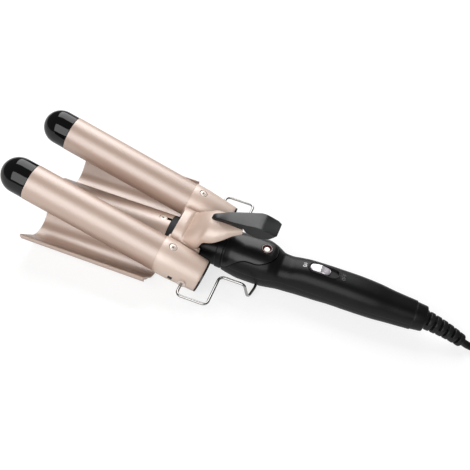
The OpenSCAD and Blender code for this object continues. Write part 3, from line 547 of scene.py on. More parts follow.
# Barrels and their caps
BARREL_IN = 10.6
for side, y in (("near", -TROUGH_Y), ("far", TROUGH_Y)):
    z = TROUGH_Z
    start, end = BARREL_X0 + 0.02, HOLDER_X0 + 4
    wall = [(start, BARREL_IN), (start, BARREL_R - 0.15), (BARREL_X0 + 0.17, BARREL_R)]
    wall += [(x, BARREL_R) for x in steps_between(BARREL_X0 + 2, HOLDER_X0 - 2, 12)]
    wall += [(end, BARREL_R), (end, BARREL_IN)]
    add(side + "_barrel_tube", *lathe(wall, y, z, 128), "rose_gold", "jaw", [side + "_barrel"], jaw=True,
        sharp=30)
    cap_r = BARREL_R - 0.16
    dome = [(BARREL_X0 - 0.05, 9.5), (BARREL_X0 - 0.05, cap_r - 0.35), (BARREL_X0 - 0.3, cap_r - 0.08)]
    dome += [(BARREL_X0 - 0.7, cap_r)] + [(BARREL_X0 - CAP_SKIRT * t, cap_r) for t in (0.3, 0.6)]
    dome += [(BARREL_X0 - CAP_SKIRT - cap_r * sind(a), cap_r * cosd(a) + 1e-4) for a in range(0, 91, 3)]
    add(side + "_cap_moulding", *lathe(dome, y, z, 128), "gloss_black", "jaw", [side + "_tip_cap"], jaw=True,
        sharp=30)
    rear = HOLDER_REAR_R - 0.12
    disc = [(-1, rear - 1), (0.1, rear - 1), (0.1, rear), (1.0, rear), (1.3, rear - 0.3), (1.38, rear - 0.8),
            (1.38, 0.01)]
    add(side + "_end_disc", *lathe([(HOLDER_X1 + x, r) for x, r in disc], y, z, 96), "gloss_black", "jaw",
        [side + "_end_cap"], jaw=True, sharp=40)


# Wave plate: the casting, with its collar, screw and slot; the last two sit a little to the crest's far side
PLATE_END = PLATE_X1 - 3.5
# How far the troughs turn on past their bottom, in degrees, and the half width that runs on to the collar
FLANK = 46
COLLAR_OPENING = 14.2
SCREW_SINK = 0.35
SCREW_TILT = math.asin(SCREW_Y / RIDGE_R)
SCREW_AXIS = Vector((0, math.sin(SCREW_TILT), math.cos(SCREW_TILT)))


def off_crest(p):
    h = p[2] - RIDGE_Z
    c, s = math.cos(SCREW_TILT), math.sin(SCREW_TILT)
    return Vector((p[0], p[1] * c + h * s, RIDGE_Z + h * c - p[1] * s))


def wave_line(t, hw):
    """The casting's line at depth t, from the middle to the long edge, as Y and Z."""
    line = [((RIDGE_R - t) * sind(f), RIDGE_Z + (RIDGE_R - t) * cosd(f))
            for f in steps_between(0, WAVE_ANGLE, 30)]
    line += [(TROUGH_Y - (TROUGH_R + t) * sind(f), TROUGH_Z - (TROUGH_R + t) * cosd(f))
             for f in steps_between(WAVE_ANGLE, -FLANK, 56)[1:]]
    y, z = line[-1]
    edge = hw + t * sind(FLANK) * 0.4
    line.append((edge, z + (edge - y) * math.tan(math.radians(FLANK))))
    return line


def both_halves(line):
    return [(-y, z) for y, z in line[:0:-1]] + line


def wave_plate():
    line = wave_line(0, PLATE_HW)
    y, z = line.pop()
    c, s = cosd(FLANK), sind(FLANK)
    # A fine groove inside the long edge, and the edge itself rounded like a bead
    for back, down in ((1.8, 0), (1.45, 0.24), (1.25, 0.24), (0.9, 0)):
        line.append((y - back * c + down * s, z - back * s - down * c))
    line += [(y, z + 0.05), (y + 0.5, z - 0.1), (y + 0.75, z - 0.6), (y + 0.78, z - 1.3), (y + 0.55, z - 2.2)]
    line += [(y + 0.2, z - 3)]
    top = both_halves(line)
    bottom = [(y, max(z, 0.02)) for y, z in both_halves(wave_line(PLATE_T, PLATE_HW - 1.1))]
    obj = add("wave_casting", *prism(top + bottom[::-1], "x", PLATE_X0, PLATE_X1), "rose_gold", "handle",
              ["wave_plate"], bevel=0.45, bevel_angle=50, look="plate_coat")
    cutters = []
    skin, bead, thin_l, beyond = 0.9, 2.1, 2.6, 60
    upper, lower = wave_line(skin, PLATE_HW - bead), wave_line(PLATE_T + 1.2, PLATE_HW - bead)
    thin = [p for p in upper + lower[::-1] if p[0] > COLLAR_OPENING]
    for s in (-1, 1):
        # Outside the collar the casting ends a little earlier, thinned from below inside its edge bead
        side = sorted((s * COLLAR_OPENING, s * beyond))
        cutters.append(cutter(box_mesh(PLATE_END, PLATE_X1 + 1, *side, -5, beyond)))
        cutters.append(cutter(prism([(s * y, z) for y, z in thin], "x", PLATE_END - thin_l, PLATE_X1 + 1)))
    half = COLLAR_HW + 0.1
    cutters.append(cutter(box_mesh(PLATE_X1 - COLLAR_W - 0.1, PLATE_X1 + 2, -half, half, RIDGE_Z, 40)))
    cutters.append(cutter(lathe_about([(-6, 1.6), (-0.9, 1.6), (-0.9, 2.75), (-0.25, 2.75), (3, 3.4)],
                                      off_crest((SCREW_X, 0, RIDGE_TOP)), SCREW_AXIS)))
    slot, faces = box_mesh(SCREW_X + 3.1, PLATE_X1 - COLLAR_W, -1.3, 1.3, RIDGE_TOP - 6, RIDGE_TOP + 2)
    cutters.append(cutter(([off_crest(v) for v in slot], faces)))
    cut(obj, *cutters)


wave_plate()
band = [(y, z) for y, z in wave_line(-0.05, PLATE_HW) if y <= COLLAR_HW]
inner = [(y, z) for y, z in wave_line(PLATE_T, PLATE_HW)[:31] if y <= COLLAR_HW]
band = both_halves(band) + both_halves(inner)[::-1]
add("collar_band", *prism(band, "x", PLATE_X1 - COLLAR_W, PLATE_X1 - 0.05), "gloss_black", "handle",
    ["insulating_collar"], bevel=0.5, look="collar_black")
# A matt black block inside the slot in the crest: painted shade for the slot's dark inside
slot_x = SCREW_X + 2.9, PLATE_X1 - COLLAR_W + 0.2
slot_shade_box, faces = box_mesh(*slot_x, -1.5, 1.5, RIDGE_TOP - 4.5, RIDGE_TOP - 0.4)
add("sensor_slot_shade", [off_crest(v) for v in slot_shade_box], faces, "satin_black", "handle", look="seam")


def cross_screw(name, at, axis, slot, body, r=2.6, replaces=(), jaw=False):
    """A screw head with a rounded rim and a cross recess."""
    axis = Vector(axis)
    head = [(-1.1, r * 0.9), (-0.15, r), (0.0, r - 0.15), (0.02, r * 0.72), (0.08, r * 0.66), (0.1, 0.01)]
    obj = add(name, *lathe_about(head, at, axis, 40), slot, body, replaces, jaw=jaw, sharp=30)
    u = axis.orthogonal().normalized()
    w = axis.cross(u)
    cutters = []
    for a, b in ((u, w), (w, u)):
        rings = []
        for d, k in ((-0.9, 0.45), (0.6, 1.0)):
            c = Vector(at) + axis * d
            arm, half = a * (r * 0.55 * k), b * (r * 0.14)
            rings.append([c + arm + half, c - arm + half, c - arm - half, c + arm - half])
        cutters.append(cutter(loft(rings), jaw=jaw))
    return cut(obj, *cutters)


cross_screw("ridge_screw", off_crest((SCREW_X, 0, RIDGE_TOP - SCREW_SINK)), SCREW_AXIS, "screw_steel",
            "handle", replaces=["plate_screw"])


# Yoke: hood and holders in one moulding
HOOD_WALL = 1.8
HOOD_BLEND = 2.4
HOOD_N = 72
SKIRT_END = 20.2
SET_BACK = 2.8
CHEEK_IN, CHEEK_OUT, WEB_OUT = 12.6, 16.1, 17.4
# Rows: distance behind the holders' front, half width, skirt and crown above the barrels' axes, flatness
HOOD_ROWS = [(1.8, 15.6, -6, 10.3, 2.5), (4, 15.6, -6, 10.45, 2.6), (7, 15.6, -6, 10.6, 2.7),
             (7.9, 15.6, -6, 10.3, 3), (8.8, 15.6, -6, 8.9, 3.6), (10.4, 15.6, -6, 9.8, 3.2),
             (13, 15.4, -6, 14.4, 2.6), (15.6, 15.2, -4, 19.2, 2.3), (19, 14.6, 0, 23.4, 2.2),
             (22, 12.8, 13.4, 25.6, 2.2), (27, 12.2, 17.4, 27.4, 2.1), (32, 9.6, 21.8, 28.8, 2.1),
             (37.2, 5.6, 26.6, 30, 2), (42.4, 2.2, 29.6, 31, 2)]
HOOD_FRONT, HOOD_TIP = HOOD_ROWS[0][0], HOOD_ROWS[-1][0]


def holder_radius(s):
    return HOLDER_R if s <= 10 else HOLDER_R + (HOLDER_REAR_R - HOLDER_R) * (s - 10) / (HOLDER_L - 10)


def smooth_max(a, b, k):
    h = max(k - abs(a - b), 0) / k
    return max(a, b) + h * h * k / 4


def hood_row(s):
    """The hood's line across at s: out to the holders' crests in front, to the free skirt behind."""
    hw, skirt, crown, p = rows_at(HOOD_ROWS, s)
    points = []
    for k in range(HOOD_N + 1):
        a = math.pi * k / HOOD_N
        y, z = hw * power(math.cos(a), 2 / p), skirt + max(crown - skirt, 0.5) * power(math.sin(a), 2 / p)
        if s <= SKIRT_END and abs(y) > 1:
            off = min(abs(abs(y) - TROUGH_Y), holder_radius(s) - 0.01)
            z = smooth_max(z, math.sqrt(holder_radius(s) ** 2 - off * off), HOOD_BLEND)
        points.append(Vector((HOLDER_X0 + s, y, TROUGH_Z + z)))
    return points


def hood():
    stations = steps_between(HOOD_FRONT, 8, 8) + steps_between(8.5, SKIRT_END, 26)
    stations += steps_between(SKIRT_END + 0.4, HOOD_TIP, 40)
    verts, faces = [], []
    for s in stations:
        verts += hood_row(s)
    n = HOOD_N + 1
    for j in range(len(stations) - 1):
        for i in range(HOOD_N):
            faces.append((j * n + i, j * n + i + 1, (j + 1) * n + i + 1, (j + 1) * n + i))
    obj = add("yoke_hood", verts, faces, "rose_housing", "jaw", ["yoke_housing"], jaw=True, sharp=60)
    if obj.data.polygons[len(faces) // 2].normal.z < 0:
        obj.data.flip_normals()
    shell = obj.modifiers.new("wall", "SOLIDIFY")
    shell.thickness = HOOD_WALL * MM
    shell.offset = -1
    shell.use_even_offset = False
    round_edges(obj, 0.35 * MM, math.radians(60))


def set_back(v, y, s):
    """The holder's front edge curves back a little on its outer, lower side."""
    along = (v[0] - HOLDER_X0) / 11
    if along > 1 or s * (v[1] - y) < 0:
        return v
    back = max(0.0, min(SET_BACK, 1.3 - 2.0 * (v[2] - TROUGH_Z) / HOLDER_R)) * min(1.0, s * (v[1] - y) / 6)
    return (v[0] + back * (1 - along) ** 2, v[1], v[2])


hood()
for side, s in (("near", -1), ("far", 1)):
    y = s * TROUGH_Y
    front = [(0.02, 12.2), (0.02, HOLDER_R - 0.3), (0.15, HOLDER_R - 0.12), (0.5, HOLDER_R), (5, HOLDER_R)]
    front += [(9, HOLDER_R), (11, HOLDER_R - 0.06)] + [(t, holder_radius(t)) for t in (14, 20, 26, 31)]
    rear = [(-0.4, HOLDER_REAR_R), (-0.1, HOLDER_REAR_R - 0.15), (0, HOLDER_REAR_R - 0.4), (0, 10.2)]
    profile = [(HOLDER_X0 + x, r) for x, r in front] + [(HOLDER_X1 + x, r) for x, r in rear]
    verts, faces = lathe(profile, y, TROUGH_Z, 128)
    verts = [set_back(v, y, s) for v in verts]
    holder = add(side + "_holder", verts, faces, "rose_housing", "jaw", jaw=True, sharp=30)
    screw_at = (HOLDER_X0 + 7.2, y, TROUGH_Z + HOLDER_R)
    slot = sorted((y + s * 8, y + s * 16))
    slot = box_mesh(HOLDER_X0 + 13.4, HOLDER_X0 + 16.6, *slot, TROUGH_Z - 4.1, TROUGH_Z - 0.5)
    sink = lathe_about([(-2.4, 2.9), (-0.3, 2.9), (0.6, 3.5)], screw_at, (0, 0, 1))
    cut(holder, cutter(sink, jaw=True), cutter(slot, jaw=True))
    # A black block set into each slot: painted shade for the slot's dark inside
    holder_slot_shade = sorted((y + s * 9.5, y + s * 11.9))
    holder_slot_shade = box_mesh(HOLDER_X0 + 13.3, HOLDER_X0 + 16.7, *holder_slot_shade, TROUGH_Z - 4.2, TROUGH_Z - 0.4)
    add(side + "_slot_shade", *holder_slot_shade, "gloss_black", "jaw", jaw=True)
    cross_screw(side + "_holder_screw", (screw_at[0], y, screw_at[2] - SCREW_SINK), (0, 0, 1), "screw_steel",
                "jaw", replaces=["holder_screws"], jaw=True)
    # Eyelet boss, its washer and the cheek beside the neck
    eye = (HINGE.x, y + s * (BARREL_R - 0.4), HINGE.z), (0, s, 0)
    boss = [(-5, 3.3), (-0.1, 3.3), (0.25, 3.1), (0.4, 2.7), (0.4, 0.01)]
    add(side + "_eyelet_boss", *lathe_about(boss, *eye), "rose_housing", "jaw")
    washer = [(0.42, 1.06), (0.42, 2.9), (0.7, 3.0), (0.95, 2.9), (1.15, 2.5), (1.15, 1.5), (1.0, 1.06)]
    add(side + "_eyelet_washer", *lathe_about(washer, *eye), "wire_chrome", "jaw", ["stand_eyelets"],
        sharp=40, look="screw_steel")
    cheek = sorted((s * CHEEK_IN, s * CHEEK_OUT))
    cheek = box_mesh(HOLDER_X0 + 9.3, HOLDER_X0 + 24, *cheek, TROUGH_Z - 8.8, TROUGH_Z + 6.8)
    add(side + "_cheek", *cheek, "rose_housing", "jaw", jaw=True, bevel=0.8)
    web = sorted((s * CHEEK_IN, s * WEB_OUT))
    web = box_mesh(HOLDER_X0 + 0.5, HOLDER_X0 + 24.3, *web, TROUGH_Z - 5.9, TROUGH_Z + 5)
    add(side + "_web", *web, "rose_housing", "jaw", jaw=True, bevel=0.8)


# Thumb lever. Rows: distance behind the holders' front, half width, side's underside and top
LEVER_ROWS = [(20, 1.4, 26.4, 28), (21.2, 2.2, 26.2, 29.2), (24.6, 3.2, 28.6, 31.4), (30.3, 4.75, 32.2, 35.2),
              (36.6, 6, 35.6, 38.8), (41.6, 6.8, 37.8, 41.8), (43.4, 7, 36.6, 42.8), (45.8, 7.3, 36.4, 44.3),
              (48.6, 7.5, 36.6, 46), (52.2, 7.6, 37.3, 46.8), (59.3, 7.4, 41.7, 47), (62.8, 6, 46.4, 47.2)]
WEB_ROWS = [(20.8, 1.2, 24.2, 28.4), (24.6, 2.4, 26, 30.6), (30.3, 2.7, 27.9, 34.2), (36.6, 2.7, 29.3, 37.8),
            (41.6, 2.4, 30.3, 40)]


def lever():
    rings = []
    for s in steps_between(LEVER_ROWS[0][0], LEVER_ROWS[-1][0], 90):
        w, low, top = rows_at(LEVER_ROWS, s)
        x, low, top = HOLDER_X0 + s, TROUGH_Z + low, TROUGH_Z + top
        # A shallow dish for the thumb behind the neck of the lever
        dish = 0.5 * math.exp(-((s - 52) / 7) ** 2)
        ring = [Vector((x, w, low))]
        for t in (1, 0.75, 0.5, 0.25, 0, -0.25, -0.5, -0.75, -1):
            y = w * t
            crown = 1 - (y / w) ** 2
            ring.append(Vector((x, y, top + 0.25 * crown - dish * crown)))
        rings.append(ring + [Vector((x, -w, low))])
    add("lever_moulding", *loft(rings), "lever_black", "jaw", ["thumb_lever"], jaw=True, bevel=0.5,
        bevel_angle=40, segments=4, sharp=50)
    rings = []
    for s in steps_between(WEB_ROWS[0][0], WEB_ROWS[-1][0], 26):
        w, low, top = rows_at(WEB_ROWS, s)
        x, low, top = HOLDER_X0 + s, TROUGH_Z + low, TROUGH_Z + top
        rings.append([Vector((x, w, low)), Vector((x, w, top)), Vector((x, -w, top)), Vector((x, -w, low))])
    add("lever_web", *loft(rings), "lever_black", "jaw", jaw=True, bevel=0.3)


lever()


# Neck and grip. Rows: x, centre height, half width, height above and below it, and the neck's flatness
NECK_ROWS = [(PLATE_X1 + 0.2, 13.0, 10.8, 7.4, 9.2, 2.8), (-50, 13.4, 11.3, 8.4, 9.4, 2.8),
             (-46, 13.6, 11.7, 10.4, 9.6, 2.8), (-34, 14.0, 12, 11.4, 9.8, 2.8),
             (-24, 14.2, 12, 12.0, 10.2, 2.7), (GRIP_X0, 14.3, 12.4, 12.6, 11.2, 2.5)]
GRIP_ROWS = [(GRIP_X0, 14.3, 13.0, 13.4, 13.0), (-13, 14.6, 14.2, 14.2, 14.1), (-4, 14.8, 15.4, 14.6, 15.5),
             (8, 15.0, 15.5, 14.4, 15.7), (14, 14.9, 14.9, 13.8, 15.2), (18, 14.3, 13.6, 12.5, 14.6),
             (22, 13.7, 12.5, 10.9, 13.8), (27, 13.6, 12.1, 11.0, 13.4), (33, 14.0, 12.1, 12.2, 13.2),
             (40, 14.7, 12.2, 12.8, 13.3), (50, 15.3, 12.3, 12.6, 13.4), (60, 15.7, 12.3, 12.3, 12.9),
             (74, 15.6, 12.5, 12.2, 12.4), (88, 15.2, 12.1, 11.8, 11.8), (101, 14.7, 10.9, 10.8, 10.7),
             (GRIP_X1, REAR_Z, 9.8, 9.8, 9.6)]
GRIP_N = 144
GRIP_P = 2.3


def grip_point(x, a, out=0.0):
    z, w, t, b = rows_at(GRIP_ROWS, x)
    p = section(x, z, w + out, t + out, b + out, GRIP_P, a)
    p.z = max(p.z, 0.03)
    return p


def neck():
    rings = []
    for x in steps_between(PLATE_X1 + 0.2, GRIP_X0 - 0.1, 60):
        z, w, t, b, p = rows_at(NECK_ROWS, x)
        # A raised ring before the seam
        ring = 0.55 if -23.6 < x < -18.9 else 0
        rings.append([section(x, z, w + ring, t + ring, b + ring, p, a) for a in turns(96)])
    add("neck_moulding", *loft(rings), "satin_black", "handle", ["neck_housing"], sharp=40)
    tongue = arc(0, RIDGE_Z, RIDGE_R - PLATE_T - 0.15, 50, 130, 16) + [(-8.4, RIDGE_Z), (8.4, RIDGE_Z)]
    add("neck_tongue", *prism(tongue, "x", SCREW_X - 5, PLATE_X1 + 0.5), "satin_black", "handle")


neck()


def grip_shell(name, lower, replaces):
    """Half of the grip, from its parting line; the lower one has the stand's notch."""
    rings = []
    for x in steps_between(GRIP_X0, GRIP_X1, 150):
        z, w, t, b = rows_at(GRIP_ROWS, x)
        side = SPLIT_Z - z
        h = t if side > 0 else b
        base = math.asin(max(-1, min(1, power(side / h, GRIP_P / 2))))
        a0, a1 = (math.pi - base, 2 * math.pi + base) if lower else (base, math.pi - base)
        ring = [grip_point(x, a0 + (a1 - a0) * k / GRIP_N) for k in range(GRIP_N + 1)]
        # The parting line is a fine groove
        for k in (0, GRIP_N):
            ring[k] = Vector((x, ring[k].y - math.copysign(0.08, ring[k].y), ring[k].z))
        rings.append(ring)
    return add(name, *loft(rings), "satin_black", "handle", replaces, sharp=50)


lower = grip_shell("grip_lower", True, ["handle_lower_shell"])
top = FOOT_Z + WIRE_R + 0.6
notch = [(FOOT_X + WIRE_R + 0.7, -5), (FOOT_X + WIRE_R + 0.7, top - 0.8), (FOOT_X + WIRE_R, top),
         (FOOT_X - WIRE_R, top), (FOOT_X - WIRE_R - 0.8, top - 0.8), (FOOT_X - WIRE_R - 3.3, -5)]
cut(lower, cutter(prism(notch, "y", -30, 30)), sharp=50)


def pill_outline(length, width, n=14):
    half = (length - width) / 2
    return arc(SWITCH_X + half, 0, width / 2, -90, 90, n) + arc(SWITCH_X - half, 0, width / 2, 90, 270, n)


upper = grip_shell("grip_upper", False, ["handle_upper_shell"])
cut(upper, cutter(prism(pill_outline(22.6, 9.2), "z", SWITCH_Z - 1.8, 40)),
    cutter(lathe_about([(20, 4.2), (40, 4.2)], *LIGHT_AXIS, 64)), sharp=50)


# Saddle cover: raised a little over the grip, from the neck's seam to a round end behind the light
SADDLE_EDGE = [(GRIP_X0 - 1, 12.2), (-16, 13.3), (-14, 15.1), (-12, 17.4), (-10, 19.8), (-8, 21.8),
               (-6, 23.3), (-4, 24.3), (-1.5, 25.0), (2, 25.2), (20, 25.2)]
SADDLE_C, SADDLE_R = 4.4, 13.2
SADDLE_UP = 0.9


def saddle_span(x):
    """Angle from the crest to the saddle's edge at x."""
    z, w, t, b = rows_at(GRIP_ROWS, x)
    edge_z = rows_at(SADDLE_EDGE, x)[0] - z
    h = t if edge_z > 0 else b
    a = math.asin(max(-1, min(1, power(edge_z / (h + SADDLE_UP), GRIP_P / 2))))
    if x > SADDLE_C:
        y = math.sqrt(max(SADDLE_R ** 2 - (x - SADDLE_C) ** 2, 0.0))
        a = max(a, math.acos(min(1, power(y / (w + SADDLE_UP), GRIP_P / 2))))
    return math.pi / 2 - a


def saddle():
    end = SADDLE_C + SADDLE_R
    # The height over the grip of the dark tube that paints the seam's shade, the width of the rounded edge
    # and how deep that edge tucks in
    seam, edge_w, tuck = 0.22, 0.8, 0.06
    xs = steps_between(GRIP_X0 + 0.2, SADDLE_C, 56)[:-1]
    xs += [SADDLE_C + SADDLE_R * sind(a) for a in steps_between(0, 89.5, 60)]
    n = 120
    spans = [saddle_span(x) for x in xs]
    rim = [grip_point(x, math.pi / 2 - s * a) for s in (-1, 1) for x, a in zip(xs, spans)]
    rim += [grip_point(end, math.pi / 2)]
    line = [grip_point(x, math.pi / 2 - a, seam) for x, a in zip(xs, spans)]
    line = [Vector((v.x, -v.y, v.z)) for v in line] + [grip_point(end, math.pi / 2, seam)] + line[::-1]
    rings = []
    for x, span in zip(xs, spans):
        ring = []
        for k in range(n + 1):
            # More columns near the edges
            v = math.sin(math.pi / 2 * (2 * k / n - 1))
            a = math.pi / 2 - v * span
            p = grip_point(x, a)
            # Distance to the edge, measured only where it can be small
            near = min((p - q).length for q in rim) if abs(v) > 0.75 or x > 12 else 9
            near = min(near, abs(x - GRIP_X0 - 0.2) + 0.25)
            t = min(near / edge_w, 1)
            ring.append(grip_point(x, a, SADDLE_UP * math.sqrt(1 - (1 - t) ** 2) - tuck))
        rings.append(ring)
    obj = add("saddle_moulding", *loft(rings, closed=False, caps=False), "satin_black", "handle",
              ["saddle_cover"], sharp=180, look="saddle_black_sheen")
    # A matt black tube along the saddle's edge: painted shade for the dark line in the crease round it
    add("saddle_seam", *tube(line, 0.4, 8), "satin_black", "handle", look="seam")
    # Room for the pilot light
    bm = bmesh.new()
    bm.from_mesh(obj.data)
    hole = [v for v in bm.verts if math.hypot(v.co.x / MM - LIGHT_X, v.co.y / MM) < 4.0]
    bmesh.ops.delete(bm, geom=hole, context="VERTS")
    bm.to_mesh(obj.data)
    bm.free()


saddle()

# Pilot light
ring = [(26.2, 4.1), (29.75, 4.1), (30.05, 4.02), (30.25, 3.8), (30.3, 3.5), (30.2, 3.1), (29.6, 2.4),
        (29.4, 1.95), (28.9, 1.95), (28.9, 0.01)]
add("pilot_ring", *lathe_about(ring, *LIGHT_AXIS, 64), "pilot_bezel", "handle", ["indicator_bezel"], sharp=50)
lens = [(28.6, 1.9), (29.3, 1.9)]
lens += [(29.35 + 0.6 * sind(a), 1.88 * cosd(a) + 1e-3) for a in range(10, 91, 10)]
add("pilot_dome", *lathe_about(lens, *LIGHT_AXIS, 48), "pilot_lens", "handle", ["indicator_lens"], sharp=60)


# Slide switch
bezel = add("switch_frame", *prism(pill_outline(22.4, 9, 20), "z", SWITCH_Z - 1.7, SWITCH_Z + 0.35),
            "satin_black", "handle", ["switch_bezel"], bevel=0.3)
recess = pill_outline(BUTTON_L + BUTTON_TRAVEL + 0.8, BUTTON_W + 0.8, 20)
cut(bezel, cutter(prism(recess, "z", SWITCH_Z - 1.1, SWITCH_Z + 4)))


def knob():
    """The button: a pill that falls away to each side of a raised middle rib."""
    cx = SWITCH_X - BUTTON_TRAVEL / 2
    half, r = BUTTON_L / 2, BUTTON_W / 2
    # Share of the outline and height, from the foot to the middle of the top
    steps = [(1.0, -1.0), (1.0, 0.2), (0.985, 0.5), (0.94, 0.75), (0.86, 0.9), (0.7, 0.95), (0.5, 0.97),
             (0.25, 0.98), (0.02, 0.98)]
    rings = []
    for scale, base in steps:
        ring = []
        for a in turns(72):
            x = (half - r) * math.copysign(min(1, abs(math.cos(a)) * 1.6), math.cos(a)) + r * math.cos(a)
            y = r * math.sin(a)
            x, y = x * scale, y * scale
            fall = 0.055 * abs(x) if x < 0 else 0.11 * x - 0.006 * x * x
            rib = 0.22 * math.exp(-((x - 0.3) / 0.7) ** 2)
            ring.append(Vector((cx + x, y, SWITCH_Z + base - (fall - rib if base > 0.3 else 0))))
        rings.append(ring)
    add("switch_button", *loft(rings), "knob_silver", "switch", ["switch_knob"], sharp=60)


knob()


# Marks beside the switch, ON and OFF, each letter made of strokes that run across the grip
LETTER_H, LETTER_W, LETTER_STEP, LETTER_GAP = 2.3, 0.62, 0.95, 0.33


def stroke_letter(kind):
    """A letter's lines, one high and about two thirds as wide."""
    w = LETTER_W
    ring = [(w / 2 * (1 + math.cos(a)), 0.5 * (1 + math.sin(a))) for a in steps_between(0, 2 * math.pi, 20)]
    return {"O": [ring], "N": [[(0, 0), (0, 1), (w, 0), (w, 1)]],
            "F": [[(0, 0), (0, 1), (w, 1)], [(0, 0.52), (w * 0.8, 0.52)]]}[kind]


def mark(name, word, x):
    verts, faces = [], []
    width = LETTER_STEP * len(word) - LETTER_GAP
    for i, kind in enumerate(word):
        for line in stroke_letter(kind):
            pts = []
            for u, v in line:
                px = x - (v - 0.5) * LETTER_H
                py = (u + LETTER_STEP * i - width / 2) * LETTER_H * 0.95
                z, w, t, b = rows_at(GRIP_ROWS, px)
                top_z = z + t * max(0, 1 - abs(py / w) ** GRIP_P) ** (1 / GRIP_P)
                pts.append(Vector((px, py, top_z)))
            tv, tf = tube(pts, 0.2, 8)
            faces += [tuple(j + len(verts) for j in f) for f in tf]
            verts += tv
    add(name, verts, faces, "knob_silver", "handle", look=name)


mark("mark_on", "ON", 37.2)
mark("mark_off", "OFF", 64.6)


# Rear collar and the ribbed strain relief
rear = [(-0.3, 5), (-0.3, 9.5), (0.05, 9.62), (1, 9.6), (6.8, 9.0), (7.6, 8.8), (7.95, 8.4), (8.0, 7.9),
        (8.0, 7.3), (6.1, 7.2), (6.1, 3)]
add("rear_ring", *lathe([(GRIP_X1 + x, r) for x, r in rear], 0, REAR_Z), "satin_black", "handle",
    ["rear_collar"], sharp=40)

RELIEF_RIBS = 6
RELIEF_PITCH = 0.152
RIB_FIRST, RIB_W, RIB_EDGE = 0.125, 0.105, 0.014
CORE_IN = 2.1
BRIDGE_HW, BRIDGE_IN, BRIDGE_LAP = 1.9, 2.2, 0.012


def relief_radius(u):
    return 7.0 - 2.4 * u


def relief_frame(u):
    """The middle of the relief at u, and its directions to the side and up."""
    d = relief_dir(u) if u > 0.05 else Vector((1, 0, 0))
    side = Vector((0, 1, 0))
    return relief_point(max(u, 0)), side, side.cross(d) * -1


def relief_ring(u, r):
    at, side, up = relief_frame(u)
    return ring_round(at, r, side, up, 48)


def strain_relief():
    rings = [relief_ring(u, relief_radius(u) - CORE_IN) for u in steps_between(0, 1, 30)]
    add("relief_core", *loft(rings), "cord_rubber", "handle", ["strain_relief"], sharp=50)
    rings = [relief_ring(u, r) for u, r in ((0, 6.9), (0.05, 6.9), (0.075, 6.75), (0.085, 6.4))]
    add("relief_root", *loft(rings), "cord_rubber", "handle", sharp=50)
    for i in range(RELIEF_RIBS):
        u0 = RIB_FIRST + RELIEF_PITCH * i
        u1 = min(u0 + RIB_W, 1.0)
        r = relief_radius((u0 + u1) / 2)
        shape = [(u0, r - 0.5), (u0 + RIB_EDGE * 0.4, r - 0.15), (u0 + RIB_EDGE, r),
                 (u1 - RIB_EDGE, r - 0.05), (u1 - RIB_EDGE * 0.4, r - 0.2), (u1, r - 0.55)]
        rings = [relief_ring(u, k) for u, k in shape]
        add("relief_rib_%d" % (i + 1), *loft(rings), "cord_rubber", "handle", sharp=50)
        # Two bridges to the rib before, turned by a quarter from gap to gap
        for s in (-1, 1):
            a = math.radians(90 * s if i % 2 else (0 if s > 0 else 180))
            rings = []
            for u in steps_between(u0 - (RELIEF_PITCH - RIB_W) - BRIDGE_LAP, u0 + BRIDGE_LAP, 4):
                at, side, up = relief_frame(u)
                out = math.cos(a) * side + math.sin(a) * up
                over = (-math.sin(a) * side + math.cos(a) * up) * BRIDGE_HW
                ro = relief_radius(max(u, 0)) - 0.35
                rim, root = at + out * ro * 0.97, at + out * (ro - BRIDGE_IN)
                rings.append([rim + over, root + over, root - over, rim - over, at + out * (ro + 0.15)])
            name = "relief_bridge_%d_%d" % (i + 1, 1 if s > 0 else 2)
            add(name, *loft(rings), "cord_rubber", "handle", bevel=0.2)


strain_relief()


# Stand: one bent wire, with a round bend at each corner
ARM_Y, INNER_Y, ARM_X, DIP_X, BEND = 51.2, 24.4, -14.6, 2.9, 3.5


def bend(p, q, r, b, n=8):
    u, t = (q - p).normalized(), (r - q).normalized()
    a = math.acos(max(-1, min(1, u.dot(t))))
    v = (t - u * t.dot(u)).normalized()
    c = q - u * b * math.tan(a / 2) + v * b
    return [c + b * (math.sin(a * i / n) * u - math.cos(a * i / n) * v) for i in range(n + 1)]


half = [(HINGE.x, -TROUGH_Y - 7, HINGE.z), (HINGE.x, -ARM_Y, HINGE.z), (ARM_X, -ARM_Y, HINGE.z),
        (ARM_X, -INNER_Y, HINGE.z), (DIP_X, -INNER_Y, HINGE.z), (FOOT_X - 1.9, -INNER_Y, FOOT_Z - 1.8),
        (FOOT_X, -15.6, FOOT_Z)]
corners = [Vector(p) for p in half] + [Vector((x, -y, z)) for x, y, z in reversed(half)]
wire_path = [corners[0]]
for i in range(1, len(corners) - 1):
    wire_path += bend(corners[i - 1], corners[i], corners[i + 1], BEND)
wire_path.append(corners[-1])
add("stand_bent_wire", *tube(wire_path, WIRE_R * 0.99, 20), "wire_chrome", "stand", ["stand_wire"], sharp=50)


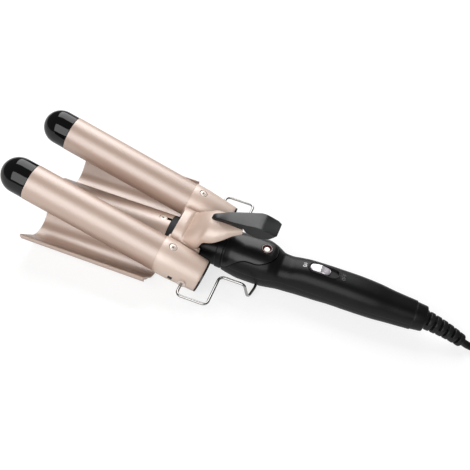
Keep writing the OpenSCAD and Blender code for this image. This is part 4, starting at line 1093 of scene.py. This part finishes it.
# Stage: a pale floor that takes the shadow, white all round
def stage_material():
    m, nt = blank("floor_white")
    link = nt.links.new
    out = node(nt, "ShaderNodeOutputMaterial")
    bsdf = node(nt, "ShaderNodeBsdfDiffuse", Color=(0.35, 0.35, 0.35, 1))
    # White for what looks at it, shadows and bounced light from the plain diffuse share
    ray = node(nt, "ShaderNodeLightPath")
    seen = node(nt, "ShaderNodeMath", operation="ADD", use_clamp=True)
    seen_too = node(nt, "ShaderNodeMath", operation="ADD", use_clamp=True)
    link(ray.outputs["Is Camera Ray"], seen.inputs[0])
    link(ray.outputs["Is Glossy Ray"], seen.inputs[1])
    link(seen.outputs[0], seen_too.inputs[0])
    link(ray.outputs["Is Transmission Ray"], seen_too.inputs[1])
    level = node(nt, "ShaderNodeMath", operation="MULTIPLY")
    level.inputs[1].default_value = 0.70
    link(seen_too.outputs[0], level.inputs[0])
    glow = node(nt, "ShaderNodeEmission", Color=(1, 1, 1, 1))
    link(level.outputs[0], glow.inputs["Strength"])
    both = node(nt, "ShaderNodeAddShader")
    link(bsdf.outputs[0], both.inputs[0])
    link(glow.outputs[0], both.inputs[1])
    link(both.outputs[0], out.inputs["Surface"])
    return m


bm = bmesh.new()
bmesh.ops.create_grid(bm, x_segments=1, y_segments=1, size=3.0)
me = bpy.data.meshes.new("floor")
bm.to_mesh(me)
bm.free()
floor = bpy.data.objects.new("floor", me)
scene.collection.objects.link(floor)
floor.location = (0, 0, -0.0003)
me.materials.append(stage_material())

world = bpy.data.worlds.new("world")
scene.world = world
world.use_nodes = True
background = world.node_tree.nodes["Background"]
background.inputs["Color"].default_value = (1, 1, 1, 1)
background.inputs["Strength"].default_value = 0.15


def lamp(name, at, to, size, size_y, power_w):
    d = bpy.data.lights.new(name, "AREA")
    d.shape = "RECTANGLE"
    d.size, d.size_y, d.energy = size, size_y, power_w
    o = bpy.data.objects.new(name, d)
    scene.collection.objects.link(o)
    o.location = at
    o.rotation_euler = (Vector(to) - Vector(at)).to_track_quat("-Z", "Y").to_euler()
    o.visible_camera = False


lamp("softbox_behind", (-0.24, 0.572, 0.555), (-0.24, 0, 0.04), 0.64, 0.82, 7.4)
lamp("softbox_front", (-0.09, -0.58, 0.43), (-0.09, 0, 0.04), 0.66, 0.60, 5.1)
